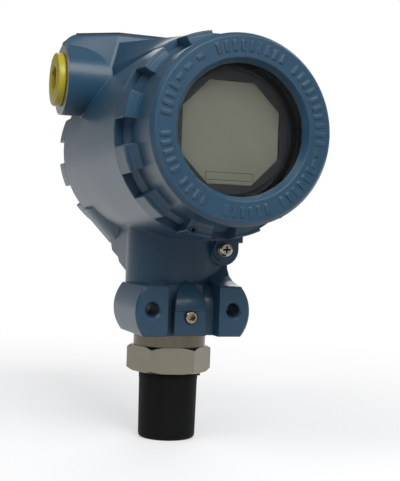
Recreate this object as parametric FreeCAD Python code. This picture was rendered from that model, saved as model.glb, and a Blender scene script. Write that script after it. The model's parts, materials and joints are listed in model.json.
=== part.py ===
import FreeCAD, Part
import math
import os

# Pressure transmitter: a die-cast aluminium housing with two screwed covers, a display behind the
# front window, a terminal block behind the rear cover, and a turned steel sensor module below.
# Millimetres. +Z is up, the display faces -Y, and the origin is on the sensor's axis at the open
# end of the process nipple. The drum and both covers turn about an axis along Y.

V = FreeCAD.Vector
X_AXIS, Y_AXIS, Z_AXIS = V(1, 0, 0), V(0, 1, 0), V(0, 0, 1)

# --- clearances ------------------------------------------------------------------------------
RUN = 0.10          # radial clearance of a screwed or turning fit
GAP = 0.30          # gap between faces of pieces that come apart
SEAT = 0.05         # radial clearance of a piece pushed into its seat

# --- housing drum ----------------------------------------------------------------------------
AXIS_Z = 129.2      # height of the drum axis
DRUM_R = 42.0
DRUM_FRONT = -50.0
DRUM_REAR = 46.0
BORE_R = 35.05      # both compartments, and the cover threads in their mouths
PARTITION_Y = -5.0  # front face of the wall between the compartments
PARTITION_T = 3.5

# --- covers ----------------------------------------------------------------------------------
COVER_R = 36.5      # round body of a cover
COVER_EDGE = 1.9    # chamfer of its outer edge
FLANGE_R = 38.6     # rim between the teeth
TOOTH_R = 42.0
TOOTH_L = 10.3      # length of a tooth along the axis
TOOTH_COUNT = 12
TOOTH_SPAN = 15.4   # degrees that a tooth covers
TOOTH_PHASE = 16.8  # degrees from +X to the first tooth
TOOTH_TIP_R = TOOTH_R - 0.8   # outer face of a tooth at its free end
TOOTH_STEP_R = TOOTH_R - 2.4  # inner edge of a tooth's end face
JAM_R = 1.5         # jam screw through one tooth of each cover
JAM_PITCH_R = TOOTH_R - 2.2
JAM_ANGLE = -107.0
FRONT_COVER_L = 31.5
REAR_COVER_L = 15.7
SKIRT_L = 11.5      # threaded skirt inside the housing
SKIRT_WALL = 2.95
RING_SECTION = 2.0  # thickness of the cover seals
WINDOW_LIP = 3.3    # thickness of the lip in front of the glass
GLASS_R = 29.4
GLASS_T = 6.0
WINDOW_R = GLASS_R - 2.4  # window opening at the front face
WINDOW_SEAT_R = GLASS_R - 4.2  # inner edge of the lip that the glass bears on
GASKET_T = 0.8
RETAINER_T = 4.0
RETAINER_R = GLASS_R - 2.2  # inside radius of the ring behind the glass

# --- plain raised bars cast on the front cover's face ------------------------------------------
BAR_R0 = WINDOW_R + 2.3
BAR_R1 = COVER_R - 3.3
BAR_W = 1.5
BAR_H = 0.45
BAR_STEP = 6.2      # degrees between bars of a run
BAR_RUNS = ((-6.0, 10), (62.0, 9), (154.0, 4), (187.0, 5), (222.0, 4), (258.0, 6), (302.0, 6))
DASH_L = 3.0        # plain dashes between the runs, laid along the ring
DASH_PLACES = (126.0, 137.0, 146.0, 339.0, 347.0)

# --- conduit entries and saddle --------------------------------------------------------------
CONDUIT_Y = 19.0
CONDUIT_R = 15.8
CONDUIT_END = 49.7  # distance of the machined end faces from the sensor axis
CONDUIT_BORE_R = 9.4
CONDUIT_THREAD_L = 16.0
CONDUIT_PASSAGE_R = 8.2
CONDUIT_INNER_X = 16.0  # where both passages have reached the rear compartment
SADDLE_TOP_DZ = 50.0  # top of the saddle above the drum axis
CONDUIT_DZ = SADDLE_TOP_DZ - 21.2  # conduit axis above the drum axis
SADDLE_END_X = 46.5  # corner of the saddle's long hexagon at its top edge
SADDLE_FLAT_X = 27.0
SADDLE_FRONT = 6.0
SADDLE_EDGE = 1.2    # bevel round the nameplate's pad
SADDLE_END_LEAN = 1.045   # how far the end corners spread per millimetre down
SADDLE_FLAT_LEAN = 0.278  # the same for the corners of the front and rear faces, along X
SADDLE_FACE_LEAN = 0.139  # the same for the front and rear faces, along Y
SADDLE_DEPTH = 19.0  # height of the leaning faces below the bevel
SPINE_HALF_W0 = 17.5  # spine where it runs out on the drum behind the front flange
SPINE_HALF_W1 = 30.5  # spine where it meets the saddle
SPINE_TOP_DZ = SADDLE_TOP_DZ - 4.2
SPINE_CROWN_HALF_W = 8.0  # flat of the spine where it runs out
SPINE_SHOULDER_DZ = SADDLE_TOP_DZ - 16.0
SPINE_FLOOR_DZ = SADDLE_TOP_DZ - 26.0

# --- plug, its seal and socket ---------------------------------------------------------------
PLUG_FLANGE_R = 12.0
PLUG_FLANGE_T = 2.7
PLUG_SEAL_T = 0.9
PLUG_L = 12.0
PLUG_SOCKET_AF = 10.0
PLUG_SOCKET_DEPTH = 7.0

# --- nameplate on the saddle -----------------------------------------------------------------
PLATE_T = 0.8
PLATE_MARGIN = 0.5   # plate edge inside the pad's edge
PLATE_PIN_X = 34.0
PLATE_PIN_R = 1.2

# --- neck and mounting block (heights above the origin) ---------------------------------------
NECK_R = 20.8
WEB_X = 20.8         # side of the web that joins the drum, neck and right ear
WEB_FRONT = -12.5
WEB_CREASE_X = 4.0
CORE_R = 19.5        # round core below the neck, inside the block
COLLAR_TIP_R = 18.6
COLLAR_Z = 45.4      # underside of the housing
BLOCK_Z0 = 46.3
BLOCK_Z1 = 68.0
BLOCK_HALF_W = 25.5
BLOCK_TOP_HALF_W = 21.7
BLOCK_LOW_HALF_W = 21.7
BLOCK_FRONT = -32.3
BLOCK_REAR = 4.0
BLOCK_EDGE = 0.8
BRACKET_PITCH = 36.0
BRACKET_Z = 57.6
BRACKET_R = 2.9
BRACKET_DEPTH = 14.0
BRACKET_SINK = 0.9
EAR_INNER_X = 11.5
CHANNEL_Y = -23.0
PAD_HALF_W = 7.15
PAD_Y = -28.2
PAD_TOP = 57.0
DOME_TIP_HALF_W = 6.0
LOCK_Z = 54.4        # height of the screw that locks the sensor module
LOCK_R = 2.65
LOCK_OUT = 2.0       # length of the screw outside the pad
GROUND_X = 18.4
GROUND_Z = 83.6
GROUND_LUG_R = 7.3
GROUND_PAD_R = 5.2
GROUND_BOSS_Y = -17.6
GROUND_SHANK_R = 2.0
GROUND_HEAD_R = 3.1
WEDGE_T = 6.0        # rear web between drum and gusset
WEDGE_HALF_W = 17.5
GUSSET_HALF_W = 19.0
# side outline of the gusset under the rear of the drum, as (y, z)
GUSSET = ((37.6, 84.5), (35.4, 81.2), (23.7, 78.1), (21.5, 75.9), (8.7, 72.1))
LEAD_Y = -10.0
LEAD_HOLE_R = 3.8
LEAD_R = 1.2

# --- sensor module ---------------------------------------------------------------------------
NIPPLE_R = 9.9       # M20 x 1.5 outside thread
NIPPLE_L = 25.0
RELIEF_R = 8.6
HEX_AF = 33.0
HEX_Z0 = 28.2
HEX_Z1 = 39.7
HEX_TURN = -12.0     # degrees of one corner from +X
SHOW_R = 16.2        # plain band between the hexagon and the housing
SHAFT_R = 14.0       # shaft inside the housing
SHAFT_TOP = 62.0
STEM_R = 11.6
STEM_TOP = 75.0
PORT_R = 4.0
CHAMBER_R = 10.4
LEDGE_R = 9.6
CHAMBER_Z = HEX_Z0 + 2.6  # floor of the chamber, above the relief under the hexagon
DIAPHRAGM_T = 0.4
LOCK_GROOVE = 1.1    # depth of the groove that the lock screw runs in
SEAL_Z = 49.6
SEAL_SECTION = 2.2
CAPSULE_R = 8.2      # upper part of the measuring cell
CAPSULE_TOP = CHAMBER_Z + 21.2
CAPSULE_STEP = CHAMBER_Z + 14.2
PIN_L = 5.0          # contact pins above the cell
PIN_CIRCLE = 5.0
SENSOR_BOARD_Z = CAPSULE_TOP + PIN_L
SOCKET_H = 4.4       # lead socket above the sensor board

# --- protective cap --------------------------------------------------------------------------
CAP_R = 12.8
CAP_Z0 = -1.7
CAP_Z1 = 27.7
CAP_FLOOR = 1.4
CAP_BEAD_R = 13.3
CAP_BEAD_H = 2.5

# --- display ---------------------------------------------------------------------------------
LCD_Y = -65.6        # front of the display glass
LCD_AF = 40.0
LCD_T = 2.2
LCD_EDGE = 9.2       # half length of each straight side
BEZEL_Y = -66.5
BEZEL_R = 24.4
BEZEL_SKIRT_R = 26.4
BEZEL_STEP = 2.6
BEZEL_REAR = -57.0
DISPLAY_BOARD_Y = -56.6
DISPLAY_BOARD_R = 26.0
BOARD_T = 1.6
MAIN_BOARD_Y = -26.0
MAIN_BOARD_R = 31.0
DISPLAY_POST_AT = 27.9  # distance of the display posts from the drum axis
MAIN_POST_AT = 26.0  # the same for the posts under the electronics board
POST_R = 2.6
POST_ANGLES = (60, 180, 300)
SCREW_R = 1.25       # M2.5 shank
HEAD_R = 2.3
DISPLAY_HEAD_R = 1.95
HEAD_T = 1.7

# --- terminal block --------------------------------------------------------------------------
TERMINAL_X = 26.0
TERMINAL_DZ0 = -20.0
TERMINAL_DZ1 = 6.0
TERMINAL_T = 14.0
TERMINAL_PITCH = 12.0
TERMINAL_SCREW_R = 1.9
TERMINAL_HEAD_R = 3.6
TERMINAL_BODY_T = 9.0  # block without its ribs
FEED_R = 2.4         # sealed conductors through the partition
INNER_GROUND_R = 1.9
INNER_GROUND_AT = (16.0, AXIS_Z - 25.0)


# ----------------------------------------------------------------------------------------------
# Shape helpers
# ----------------------------------------------------------------------------------------------
def cylinder(axis, radius, start, end, cross=(0.0, 0.0)):
    """Cylinder along axis "x", "y" or "z" from start to end; cross gives its other two coordinates."""
    length = end - start
    if axis == "x":
        return Part.makeCylinder(radius, length, V(start, cross[0], cross[1]), X_AXIS)
    if axis == "y":
        return Part.makeCylinder(radius, length, V(cross[0], start, cross[1]), Y_AXIS)
    return Part.makeCylinder(radius, length, V(cross[0], cross[1], start), Z_AXIS)


def cone(axis, r0, r1, start, end, cross=(0.0, 0.0)):
    """Cone along an axis, with radius r0 at start and r1 at end."""
    length = end - start
    if axis == "x":
        return Part.makeCone(r0, r1, length, V(start, cross[0], cross[1]), X_AXIS)
    if axis == "y":
        return Part.makeCone(r0, r1, length, V(cross[0], start, cross[1]), Y_AXIS)
    return Part.makeCone(r0, r1, length, V(cross[0], cross[1], start), Z_AXIS)


def box(x0, x1, y0, y1, z0, z1):
    """Box between two corners."""
    return Part.makeBox(x1 - x0, y1 - y0, z1 - z0, V(x0, y0, z0))


def drum_turned(points, angle=360.0, start=0.0):
    """Turn a closed (y, radius) outline about the drum axis."""
    wire = Part.makePolygon([V(r, y, AXIS_Z) for y, r in points] + [V(points[0][1], points[0][0], AXIS_Z)])
    solid = Part.Face(wire).revolve(V(0, 0, AXIS_Z), V(0, -1, 0), angle)
    solid.rotate(V(0, 0, AXIS_Z), V(0, -1, 0), start)
    return solid


def turned(points):
    """Turn a closed (radius, z) outline about the sensor axis."""
    wire = Part.makePolygon([V(r, 0, z) for r, z in points] + [V(points[0][0], 0, points[0][1])])
    return Part.Face(wire).revolve(V(0, 0, 0), Z_AXIS, 360)


def prism_xz(points, y0, y1):
    """Extrude a closed (x, z) outline along Y."""
    wire = Part.makePolygon([V(x, y0, z) for x, z in points] + [V(points[0][0], y0, points[0][1])])
    return Part.Face(wire).extrude(V(0, y1 - y0, 0))


def hexagon(across_flats, turn=0.0):
    """Corner points of a hexagon, as (u, v) pairs."""
    radius = across_flats / 2 / math.cos(math.pi / 6)
    return [(radius * math.cos(math.radians(turn + 60 * k)), radius * math.sin(math.radians(turn + 60 * k)))
            for k in range(6)]


def hex_bar(axis, across_flats, start, end, cross, turn=0.0):
    """Hexagonal bar along "x", "y" or "z"."""
    place = {"x": lambda u, v: V(start, cross[0] + u, cross[1] + v),
             "y": lambda u, v: V(cross[0] + u, start, cross[1] + v),
             "z": lambda u, v: V(cross[0] + u, cross[1] + v, start)}[axis]
    corners = [place(u, v) for u, v in hexagon(across_flats, turn)]
    direction = {"x": X_AXIS, "y": Y_AXIS, "z": Z_AXIS}[axis]
    return Part.Face(Part.makePolygon(corners + corners[:1])).extrude(direction * (end - start))


def octagon_section(radius, section, middle):
    """Points (along, radius) of an eight-sided ring section."""
    r = section / 2
    return [(middle + r * math.cos(math.radians(22.5 + 45 * k)),
             radius + r * math.sin(math.radians(22.5 + 45 * k))) for k in range(8)]


def around_drum(radius, angle):
    """Point (x, z) at a radius and angle about the drum axis."""
    a = math.radians(angle)
    return radius * math.cos(a), AXIS_Z + radius * math.sin(a)


def fuse(shapes):
    """One solid from several that overlap."""
    return shapes[0].multiFuse(shapes[1:]).removeSplitter()


def group(shapes):
    """Separate solids kept in one node."""
    return Part.makeCompound(shapes)


def save(name, shape):
    shape.exportStep("parts/" + name + ".step")


# ----------------------------------------------------------------------------------------------
# Housing casting
# ----------------------------------------------------------------------------------------------
def long_hexagon(z, drop, inset=0.0):
    """Plan of the saddle at height z: a long hexagon, spread by its drop below the bevel, or drawn in."""
    end_x = SADDLE_END_X + SADDLE_END_LEAN * drop - 1.7 * inset
    flat_x = SADDLE_FLAT_X + SADDLE_FLAT_LEAN * drop - 0.5 * inset
    half_y = CONDUIT_Y - SADDLE_FRONT + SADDLE_FACE_LEAN * drop - inset
    corners = [(-end_x, 0.0), (-flat_x, -half_y), (flat_x, -half_y), (end_x, 0.0),
               (flat_x, half_y), (-flat_x, half_y)]
    points = [V(x, CONDUIT_Y + y, z) for x, y in corners]
    return Part.makePolygon(points + points[:1])


def saddle():
    """Saddle between the conduit entries, its bevelled pad, and the spine forward of it."""
    top = AXIS_Z + SADDLE_TOP_DZ
    bevel = top - SADDLE_EDGE
    base = bevel - SADDLE_DEPTH
    body = Part.makeLoft([long_hexagon(base, SADDLE_DEPTH), long_hexagon(bevel, 0.0)], True, True)
    pad = Part.makeLoft([long_hexagon(bevel, 0.0), long_hexagon(top, 0.0, SADDLE_EDGE)], True, True)
    limit = box(-CONDUIT_END, CONDUIT_END, -60, 60, base, top)
    floor = AXIS_Z + SPINE_FLOOR_DZ
    near_y, far_y = DRUM_FRONT + 1.0, SADDLE_FRONT + 0.5
    edge_z = AXIS_Z + math.sqrt((DRUM_R - 0.1) ** 2 - SPINE_HALF_W0 ** 2)
    near = [(-SPINE_HALF_W0, floor), (-SPINE_HALF_W0, edge_z), (-SPINE_CROWN_HALF_W, AXIS_Z + DRUM_R - 0.9),
            (SPINE_CROWN_HALF_W, AXIS_Z + DRUM_R - 0.9), (SPINE_HALF_W0, edge_z), (SPINE_HALF_W0, floor)]
    crown = SADDLE_FLAT_X
    shoulder = AXIS_Z + SPINE_SHOULDER_DZ
    top = AXIS_Z + SPINE_TOP_DZ
    far = [(-SPINE_HALF_W1, floor), (-SPINE_HALF_W1, shoulder), (-crown, top),
           (crown, top), (SPINE_HALF_W1, shoulder), (SPINE_HALF_W1, floor)]
    ends = []
    for y, outline in ((near_y, near), (far_y, far)):
        points = [V(x, y, z) for x, z in outline]
        ends.append(Part.makePolygon(points + points[:1]))
    spine = Part.makeLoft(ends, True, True)
    return [body.common(limit), pad, spine]


def block_outline(y):
    """Outline of the mounting block: flat top and bottom, bulged sides."""
    low, mid, top = BLOCK_LOW_HALF_W, BLOCK_HALF_W, BLOCK_TOP_HALF_W
    return Part.Wire([
        Part.makeLine(V(-low, y, BLOCK_Z0), V(low, y, BLOCK_Z0)),
        Part.Arc(V(low, y, BLOCK_Z0), V(mid, y, BRACKET_Z), V(top, y, BLOCK_Z1 - 0.6)).toShape(),
        Part.makeLine(V(top, y, BLOCK_Z1 - 0.6), V(top - 3.0, y, BLOCK_Z1)),
        Part.makeLine(V(top - 3.0, y, BLOCK_Z1), V(3.0 - top, y, BLOCK_Z1)),
        Part.makeLine(V(3.0 - top, y, BLOCK_Z1), V(-top, y, BLOCK_Z1 - 0.6)),
        Part.Arc(V(-top, y, BLOCK_Z1 - 0.6), V(-mid, y, BRACKET_Z), V(-low, y, BLOCK_Z0)).toShape()])


def mounting_block():
    """Block with two ears: channel between them, pad for the lock screw, and the dome above the pad."""
    block = Part.Face(block_outline(BLOCK_FRONT)).extrude(V(0, BLOCK_REAR - BLOCK_FRONT, 0))
    rim = [e for e in block.Edges if e.BoundBox.YMax < BLOCK_FRONT + 0.01]
    block = block.makeChamfer(BLOCK_EDGE, rim)
    block = block.cut(box(-EAR_INNER_X, EAR_INNER_X, BLOCK_FRONT - 1, CHANNEL_Y, BLOCK_Z0 - 1, BLOCK_Z1 + 1))
    plan = [(PAD_HALF_W, BLOCK_FRONT - 1), (EAR_INNER_X, BLOCK_FRONT - 1), (EAR_INNER_X, WEB_FRONT - 4.4),
            (PAD_HALF_W, WEB_FRONT - 6.4)]
    corners = [V(x, y, BLOCK_Z0 - 1.0) for x, y in plan]
    block = block.cut(Part.Face(Part.makePolygon(corners + corners[:1])).extrude(V(0, 0, 24)))
    notch_at = (-(EAR_INNER_X + PAD_HALF_W) / 2, BLOCK_Z0 - 0.8)
    notch = cylinder("y", 2.4, BLOCK_FRONT - 1, CHANNEL_Y + 2, notch_at)
    pad = box(-PAD_HALF_W, PAD_HALF_W, PAD_Y, CHANNEL_Y + 1, BLOCK_Z0, PAD_TOP)
    foot_r = PAD_HALF_W - 0.15
    levels = ((PAD_TOP - 0.5, foot_r, PAD_Y + 0.15), (PAD_TOP + 4.5, 6.8, PAD_Y + 1.3),
              (PAD_TOP + 9.0, 6.5, PAD_Y + 3.6), (BLOCK_Z1 + 0.8, DOME_TIP_HALF_W, -NECK_R - 0.1))
    rounds = [Part.Wire(Part.makeCircle(r, V(0, front + r, z), Z_AXIS)) for z, r, front in levels]
    dome = Part.makeLoft(rounds, True, False)
    return [block.cut(notch), pad, dome]


def ear_blend():
    """Concave flank from the web down onto the right ear."""
    z = BLOCK_Z1
    points = [(WEB_FRONT - 0.5, z + 11.0), (WEB_FRONT - 1.0, z + 7.2), (-16.0, z + 4.0), (-20.5, z + 1.8),
              (-26.0, z + 0.5), (BLOCK_FRONT + 0.9, z - 0.2), (BLOCK_FRONT + 0.9, z - 4.0), (0.0, z - 4.0),
              (0.0, z + 11.0)]
    corners = [V(EAR_INNER_X, y, h) for y, h in points]
    return Part.Face(Part.makePolygon(corners + corners[:1])).extrude(V(WEB_X + 0.9 - EAR_INNER_X, 0, 0))


def lower_body():
    """Neck, web, gusset, ground lug and the collar round the sensor module."""
    roof = AXIS_Z - BORE_R - 1.0
    neck = cylinder("z", NECK_R, BLOCK_Z1 - 2, roof)
    socket = turned([(0, COLLAR_Z), (COLLAR_TIP_R, COLLAR_Z), (CORE_R, COLLAR_Z + 0.9), (CORE_R, BLOCK_Z1 - 1),
                     (0, BLOCK_Z1 - 1)])
    plan = [(0, 0), (WEB_CREASE_X, -NECK_R + 0.3), (WEB_X, WEB_FRONT), (WEB_X, 6.0), (14.0, 14.0)]
    corners = [V(x, y, BLOCK_Z1 - 3) for x, y in plan]
    web_h = AXIS_Z - BORE_R - 1.55 - BLOCK_Z1 + 3
    web = Part.Face(Part.makePolygon(corners + corners[:1])).extrude(V(0, 0, web_h))
    lug = cylinder("y", GROUND_LUG_R, GROUND_BOSS_Y + 1.2, -4.0, (GROUND_X, GROUND_Z))
    lug_pad = cylinder("y", GROUND_PAD_R, GROUND_BOSS_Y, GROUND_BOSS_Y + 2.0, (GROUND_X, GROUND_Z))
    lug_root = box(GROUND_X - GROUND_LUG_R, GROUND_X + GROUND_LUG_R, GROUND_BOSS_Y + 1.2, -4.0, GROUND_Z,
                   AXIS_Z - 33.5)
    ledge = box(GROUND_X, GROUND_X + 9.4, GROUND_BOSS_Y + 1.6, -2.0, AXIS_Z - 42.6, AXIS_Z - 31.0)
    side = [(0.0, roof), (DRUM_REAR - 1, roof), (DRUM_REAR - 1, GUSSET[0][1] + 3.2)] + list(GUSSET)
    side.append((0.0, GUSSET[-1][1]))
    corners = [V(-GUSSET_HALF_W, y, z) for y, z in side]
    gusset = Part.Face(Part.makePolygon(corners + corners[:1])).extrude(V(2 * GUSSET_HALF_W, 0, 0))
    reach = DRUM_R / math.sqrt(2) + 2.4
    foot = AXIS_Z - DRUM_R - 2.5
    wedge = prism_xz([(-reach, AXIS_Z - reach + 3.2), (-WEDGE_HALF_W, foot), (WEDGE_HALF_W, foot),
                      (reach, AXIS_Z - reach + 3.2)], DRUM_REAR - WEDGE_T, DRUM_REAR)
    return [neck, socket, web, lug, lug_pad, lug_root, ledge, gusset, wedge, ear_blend()] + mounting_block()


def housing():
    """The casting, bored for both compartments, the conduits, the sensor and every screw."""
    drum = cylinder("y", DRUM_R, DRUM_FRONT, DRUM_REAR, (0, AXIS_Z))
    conduit = (CONDUIT_Y, AXIS_Z + CONDUIT_DZ)
    conduits = cylinder("x", CONDUIT_R, -CONDUIT_END, CONDUIT_END, conduit)
    wall_rear = PARTITION_Y + PARTITION_T
    mouth = RING_SECTION + 0.4
    bores = [cylinder("y", BORE_R, DRUM_FRONT - 1, PARTITION_Y, (0, AXIS_Z)),
             cylinder("y", BORE_R, wall_rear, DRUM_REAR + 1, (0, AXIS_Z)),
             cylinder("y", BORE_R + 1.1, DRUM_FRONT - 1, DRUM_FRONT + mouth, (0, AXIS_Z)),
             cylinder("y", BORE_R + 1.1, DRUM_REAR - mouth, DRUM_REAR + 1, (0, AXIS_Z))]
    inner_boss = cylinder("y", 4.4, wall_rear - 0.5, wall_rear + 5, INNER_GROUND_AT)
    body = fuse([drum, conduits] + saddle() + lower_body()).cut(bores).fuse(inner_boss)

    cuts = [cylinder("x", CONDUIT_BORE_R, -CONDUIT_END - 1, CONDUIT_THREAD_L - CONDUIT_END, conduit),
            cylinder("x", CONDUIT_BORE_R, CONDUIT_END - CONDUIT_THREAD_L, CONDUIT_END + 1, conduit),
            cylinder("x", CONDUIT_PASSAGE_R, -CONDUIT_END + 1, -CONDUIT_INNER_X, conduit),
            cylinder("x", CONDUIT_PASSAGE_R, CONDUIT_INNER_X, CONDUIT_END - 1, conduit),
            cylinder("z", SHAFT_R + RUN, COLLAR_Z - 1, SHAFT_TOP + GAP),
            cylinder("z", STEM_R + GAP, SHAFT_TOP, STEM_TOP + 1.5),
            cylinder("z", LEAD_HOLE_R, STEM_TOP, AXIS_Z - BORE_R + 3.0, (0, LEAD_Y)),
            cylinder("y", LOCK_R + RUN, PAD_Y - 1, -SHAFT_R + 1, (0, LOCK_Z)),
            cylinder("y", GROUND_SHANK_R + SEAT, GROUND_BOSS_Y - 1, GROUND_BOSS_Y + 10.5, (GROUND_X, GROUND_Z)),
            cylinder("y", INNER_GROUND_R + SEAT, wall_rear - 1.6, wall_rear + 7, INNER_GROUND_AT)]
    for x in (-BRACKET_PITCH / 2, BRACKET_PITCH / 2):
        cuts.append(cylinder("y", BRACKET_R, BLOCK_FRONT - 1, BLOCK_FRONT + BRACKET_DEPTH, (x, BRACKET_Z)))
        cuts.append(cone("y", BRACKET_R + BRACKET_SINK + 0.5, BRACKET_R, BLOCK_FRONT - 0.5,
                         BLOCK_FRONT + BRACKET_SINK, (x, BRACKET_Z)))
    for x, z in feedthrough_places():
        cuts.append(cylinder("y", FEED_R, PARTITION_Y - 1, wall_rear + 1, (x, z)))
    for x, z in main_post_places():
        cuts.append(cylinder("y", SCREW_R + SEAT, PARTITION_Y - 1, PARTITION_Y + 2.6, (x, z)))
    for x, z in terminal_fixing_places():
        cuts.append(cylinder("y", SCREW_R + SEAT, wall_rear - 2.6, wall_rear + 1, (x, z)))
    top = AXIS_Z + SADDLE_TOP_DZ
    for x in (-PLATE_PIN_X, PLATE_PIN_X):
        cuts.append(cylinder("z", PLATE_PIN_R + SEAT, top - 4, top + 1, (x, CONDUIT_Y)))
    return body.cut(cuts).removeSplitter()


# ----------------------------------------------------------------------------------------------
# Covers
# ----------------------------------------------------------------------------------------------
def cover_teeth(face, side, tip_r):
    """Teeth of a cover; face is the plane next to the housing, side its way, tip_r their end radius."""
    tip = face + side * TOOTH_L
    outline = [(face, FLANGE_R - 1.5), (face, TOOTH_R), (tip - side * 0.5, tip_r),
               (tip, tip_r - 0.5), (tip, TOOTH_STEP_R), (tip + side * 1.0, TOOTH_STEP_R - 2.0),
               (tip + side * 3.0, COVER_R - 0.1), (tip, COVER_R - 0.8)]
    return [drum_turned(outline, TOOTH_SPAN, TOOTH_PHASE + k * 360 / TOOTH_COUNT - TOOTH_SPAN / 2)
            for k in range(TOOTH_COUNT)]


def jam_hole(face, side):
    """Hole through a tooth for the cover's jam screw."""
    ends = sorted((face - side, face + side * (TOOTH_L + 1)))
    return cylinder("y", JAM_R + SEAT, ends[0], ends[1], around_drum(JAM_PITCH_R, JAM_ANGLE))


def face_bars(front):
    """Raised bars in runs round the cover's face, with dashes between the runs."""
    marks = []
    for start, count in BAR_RUNS:
        for k in range(count):
            bar = box(BAR_R0, BAR_R1, front - BAR_H, front + 0.5, AXIS_Z - BAR_W / 2, AXIS_Z + BAR_W / 2)
            marks.append((bar, start + BAR_STEP * k))
    middle = (BAR_R0 + BAR_R1) / 2
    for angle in DASH_PLACES:
        dash = box(middle - BAR_W / 2, middle + BAR_W / 2, front - BAR_H, front + 0.5,
                   AXIS_Z - DASH_L / 2, AXIS_Z + DASH_L / 2)
        marks.append((dash, angle))
    for mark, angle in marks:
        mark.rotate(V(0, 0, AXIS_Z), V(0, -1, 0), angle)
    return [mark for mark, angle in marks]


def front_cover():
    """Cover with a window: chamfered ring, toothed flange, threaded skirt and the seat of the glass."""
    face = DRUM_FRONT - GAP
    front = face - FRONT_COVER_L
    skirt_r = BORE_R - RUN
    inner_r = skirt_r - SKIRT_WALL
    groove = RING_SECTION + 0.4
    pocket_r = GLASS_R + 0.5
    pocket_end = front + WINDOW_LIP + GASKET_T + GLASS_T + RETAINER_T + 2.6
    outline = [(front, WINDOW_R), (front, COVER_R - COVER_EDGE + 0.4), (front + COVER_EDGE, COVER_R),
               (face - 4.7, COVER_R), (face - 0.8, FLANGE_R), (face, FLANGE_R),
               (face, skirt_r - 1.1), (face + groove + GAP, skirt_r - 1.1), (face + groove + GAP, skirt_r),
               (face + SKIRT_L, skirt_r), (face + SKIRT_L, inner_r), (pocket_end + 1.6, inner_r),
               (pocket_end, pocket_r), (front + WINDOW_LIP, pocket_r), (front + WINDOW_LIP, WINDOW_SEAT_R)]
    bars = face_bars(front)
    return fuse([drum_turned(outline)] + cover_teeth(face, -1, TOOTH_TIP_R) + bars).cut(jam_hole(face, -1))


def rear_cover():
    """Blank cover: shallow crown with a raised rim, toothed flange and threaded skirt."""
    face = DRUM_REAR + GAP
    end = face + REAR_COVER_L
    skirt_r = BORE_R - RUN
    inner_r = skirt_r - SKIRT_WALL
    groove = RING_SECTION + 0.4
    outline = [(end, 0.0), (end, COVER_R - 12), (end - 1.6, COVER_R - 10.5), (end - 1.6, COVER_R - 5.5),
               (end, COVER_R - 4.5), (end, COVER_R - COVER_EDGE), (end - COVER_EDGE, COVER_R),
               (face + 4.7, COVER_R), (face + 0.8, FLANGE_R), (face, FLANGE_R),
               (face, skirt_r - 1.1), (face - groove - GAP, skirt_r - 1.1), (face - groove - GAP, skirt_r),
               (face - SKIRT_L, skirt_r), (face - SKIRT_L, inner_r), (end - 7.5, inner_r),
               (end - 5.0, inner_r - 3.0), (end - 5.0, 0.0)]
    return fuse([drum_turned(outline)] + cover_teeth(face, 1, TOOTH_R)).cut(jam_hole(face, 1))


def cover_seal(y_face, side):
    """Round ring that lies at the root of a cover's skirt."""
    y = y_face - side * (RING_SECTION / 2 + 0.15)
    return drum_turned(octagon_section(BORE_R, RING_SECTION, y))


def window_parts():
    """Gasket, glass and the screwed ring behind it, from front to rear."""
    seat = DRUM_FRONT - GAP - FRONT_COVER_L + WINDOW_LIP
    glass_front = seat + GASKET_T
    glass_rear = glass_front + GLASS_T
    ring = lambda r0, r1, y0, y1: drum_turned([(y0, r0), (y0, r1), (y1, r1), (y1, r0)])
    gasket = ring(WINDOW_SEAT_R + 0.3, GLASS_R, seat, glass_front)
    edge = 0.5
    glass = drum_turned([(glass_front, 0), (glass_front, GLASS_R - edge), (glass_front + edge, GLASS_R),
                         (glass_rear - edge, GLASS_R), (glass_rear, GLASS_R - edge), (glass_rear, 0)])
    retainer = ring(RETAINER_R, GLASS_R + 0.5 - SEAT, glass_rear, glass_rear + RETAINER_T)
    ring_rear = glass_rear + RETAINER_T
    slots = [box(-GLASS_R - 2, GLASS_R + 2, ring_rear - 1.6, ring_rear + 1, AXIS_Z - 1.2, AXIS_Z + 1.2)]
    return gasket, glass, retainer.cut(slots)


# ----------------------------------------------------------------------------------------------
# Display and electronics in the front compartment
# ----------------------------------------------------------------------------------------------
def octagon(across_flats, half_side, y):
    """Octagon about the drum axis as a wire at y, straight sides of 2 x half_side."""
    a, b = across_flats / 2, half_side
    points = [(-b, a), (b, a), (a, b), (a, -b), (b, -a), (-b, -a), (-a, -b), (-a, b)]
    return Part.makePolygon([V(x, y, AXIS_Z + z) for x, z in points + points[:1]])


def display_bezel():
    """Black moulded cup around the display glass, stepped at its rim, open in an octagon."""
    cup = drum_turned([(BEZEL_Y, 0), (BEZEL_Y, BEZEL_R - 0.5), (BEZEL_Y + 0.5, BEZEL_R),
                       (BEZEL_Y + BEZEL_STEP, BEZEL_R), (BEZEL_Y + BEZEL_STEP, BEZEL_SKIRT_R),
                       (BEZEL_REAR, BEZEL_SKIRT_R), (BEZEL_REAR, 0)])
    hollow = drum_turned([(LCD_Y + LCD_T, 0), (LCD_Y + LCD_T, BEZEL_R - 1.2), (BEZEL_REAR + 1, BEZEL_R - 1.2),
                          (BEZEL_REAR + 1, 0)])
    window = Part.Face(octagon(LCD_AF + 0.4, LCD_EDGE, BEZEL_Y - 1)).extrude(V(0, 8, 0))
    notch_x, notch_z = -LCD_AF / 2 + 6.0, AXIS_Z + LCD_AF / 2 - 4.6
    notch = box(notch_x - 1.2, notch_x + 1.2, BEZEL_Y - 1, LCD_Y, notch_z - 1.2, notch_z + 1.2)
    heads = [cylinder("y", DISPLAY_HEAD_R + GAP, BEZEL_REAR - HEAD_T, BEZEL_REAR + 1, p)
             for p in post_places()]
    return cup.cut([hollow, window, notch] + heads)


def lcd_panel():
    """Display glass: octagonal plate."""
    return Part.Face(octagon(LCD_AF, LCD_EDGE, LCD_Y)).extrude(V(0, LCD_T, 0))


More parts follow.
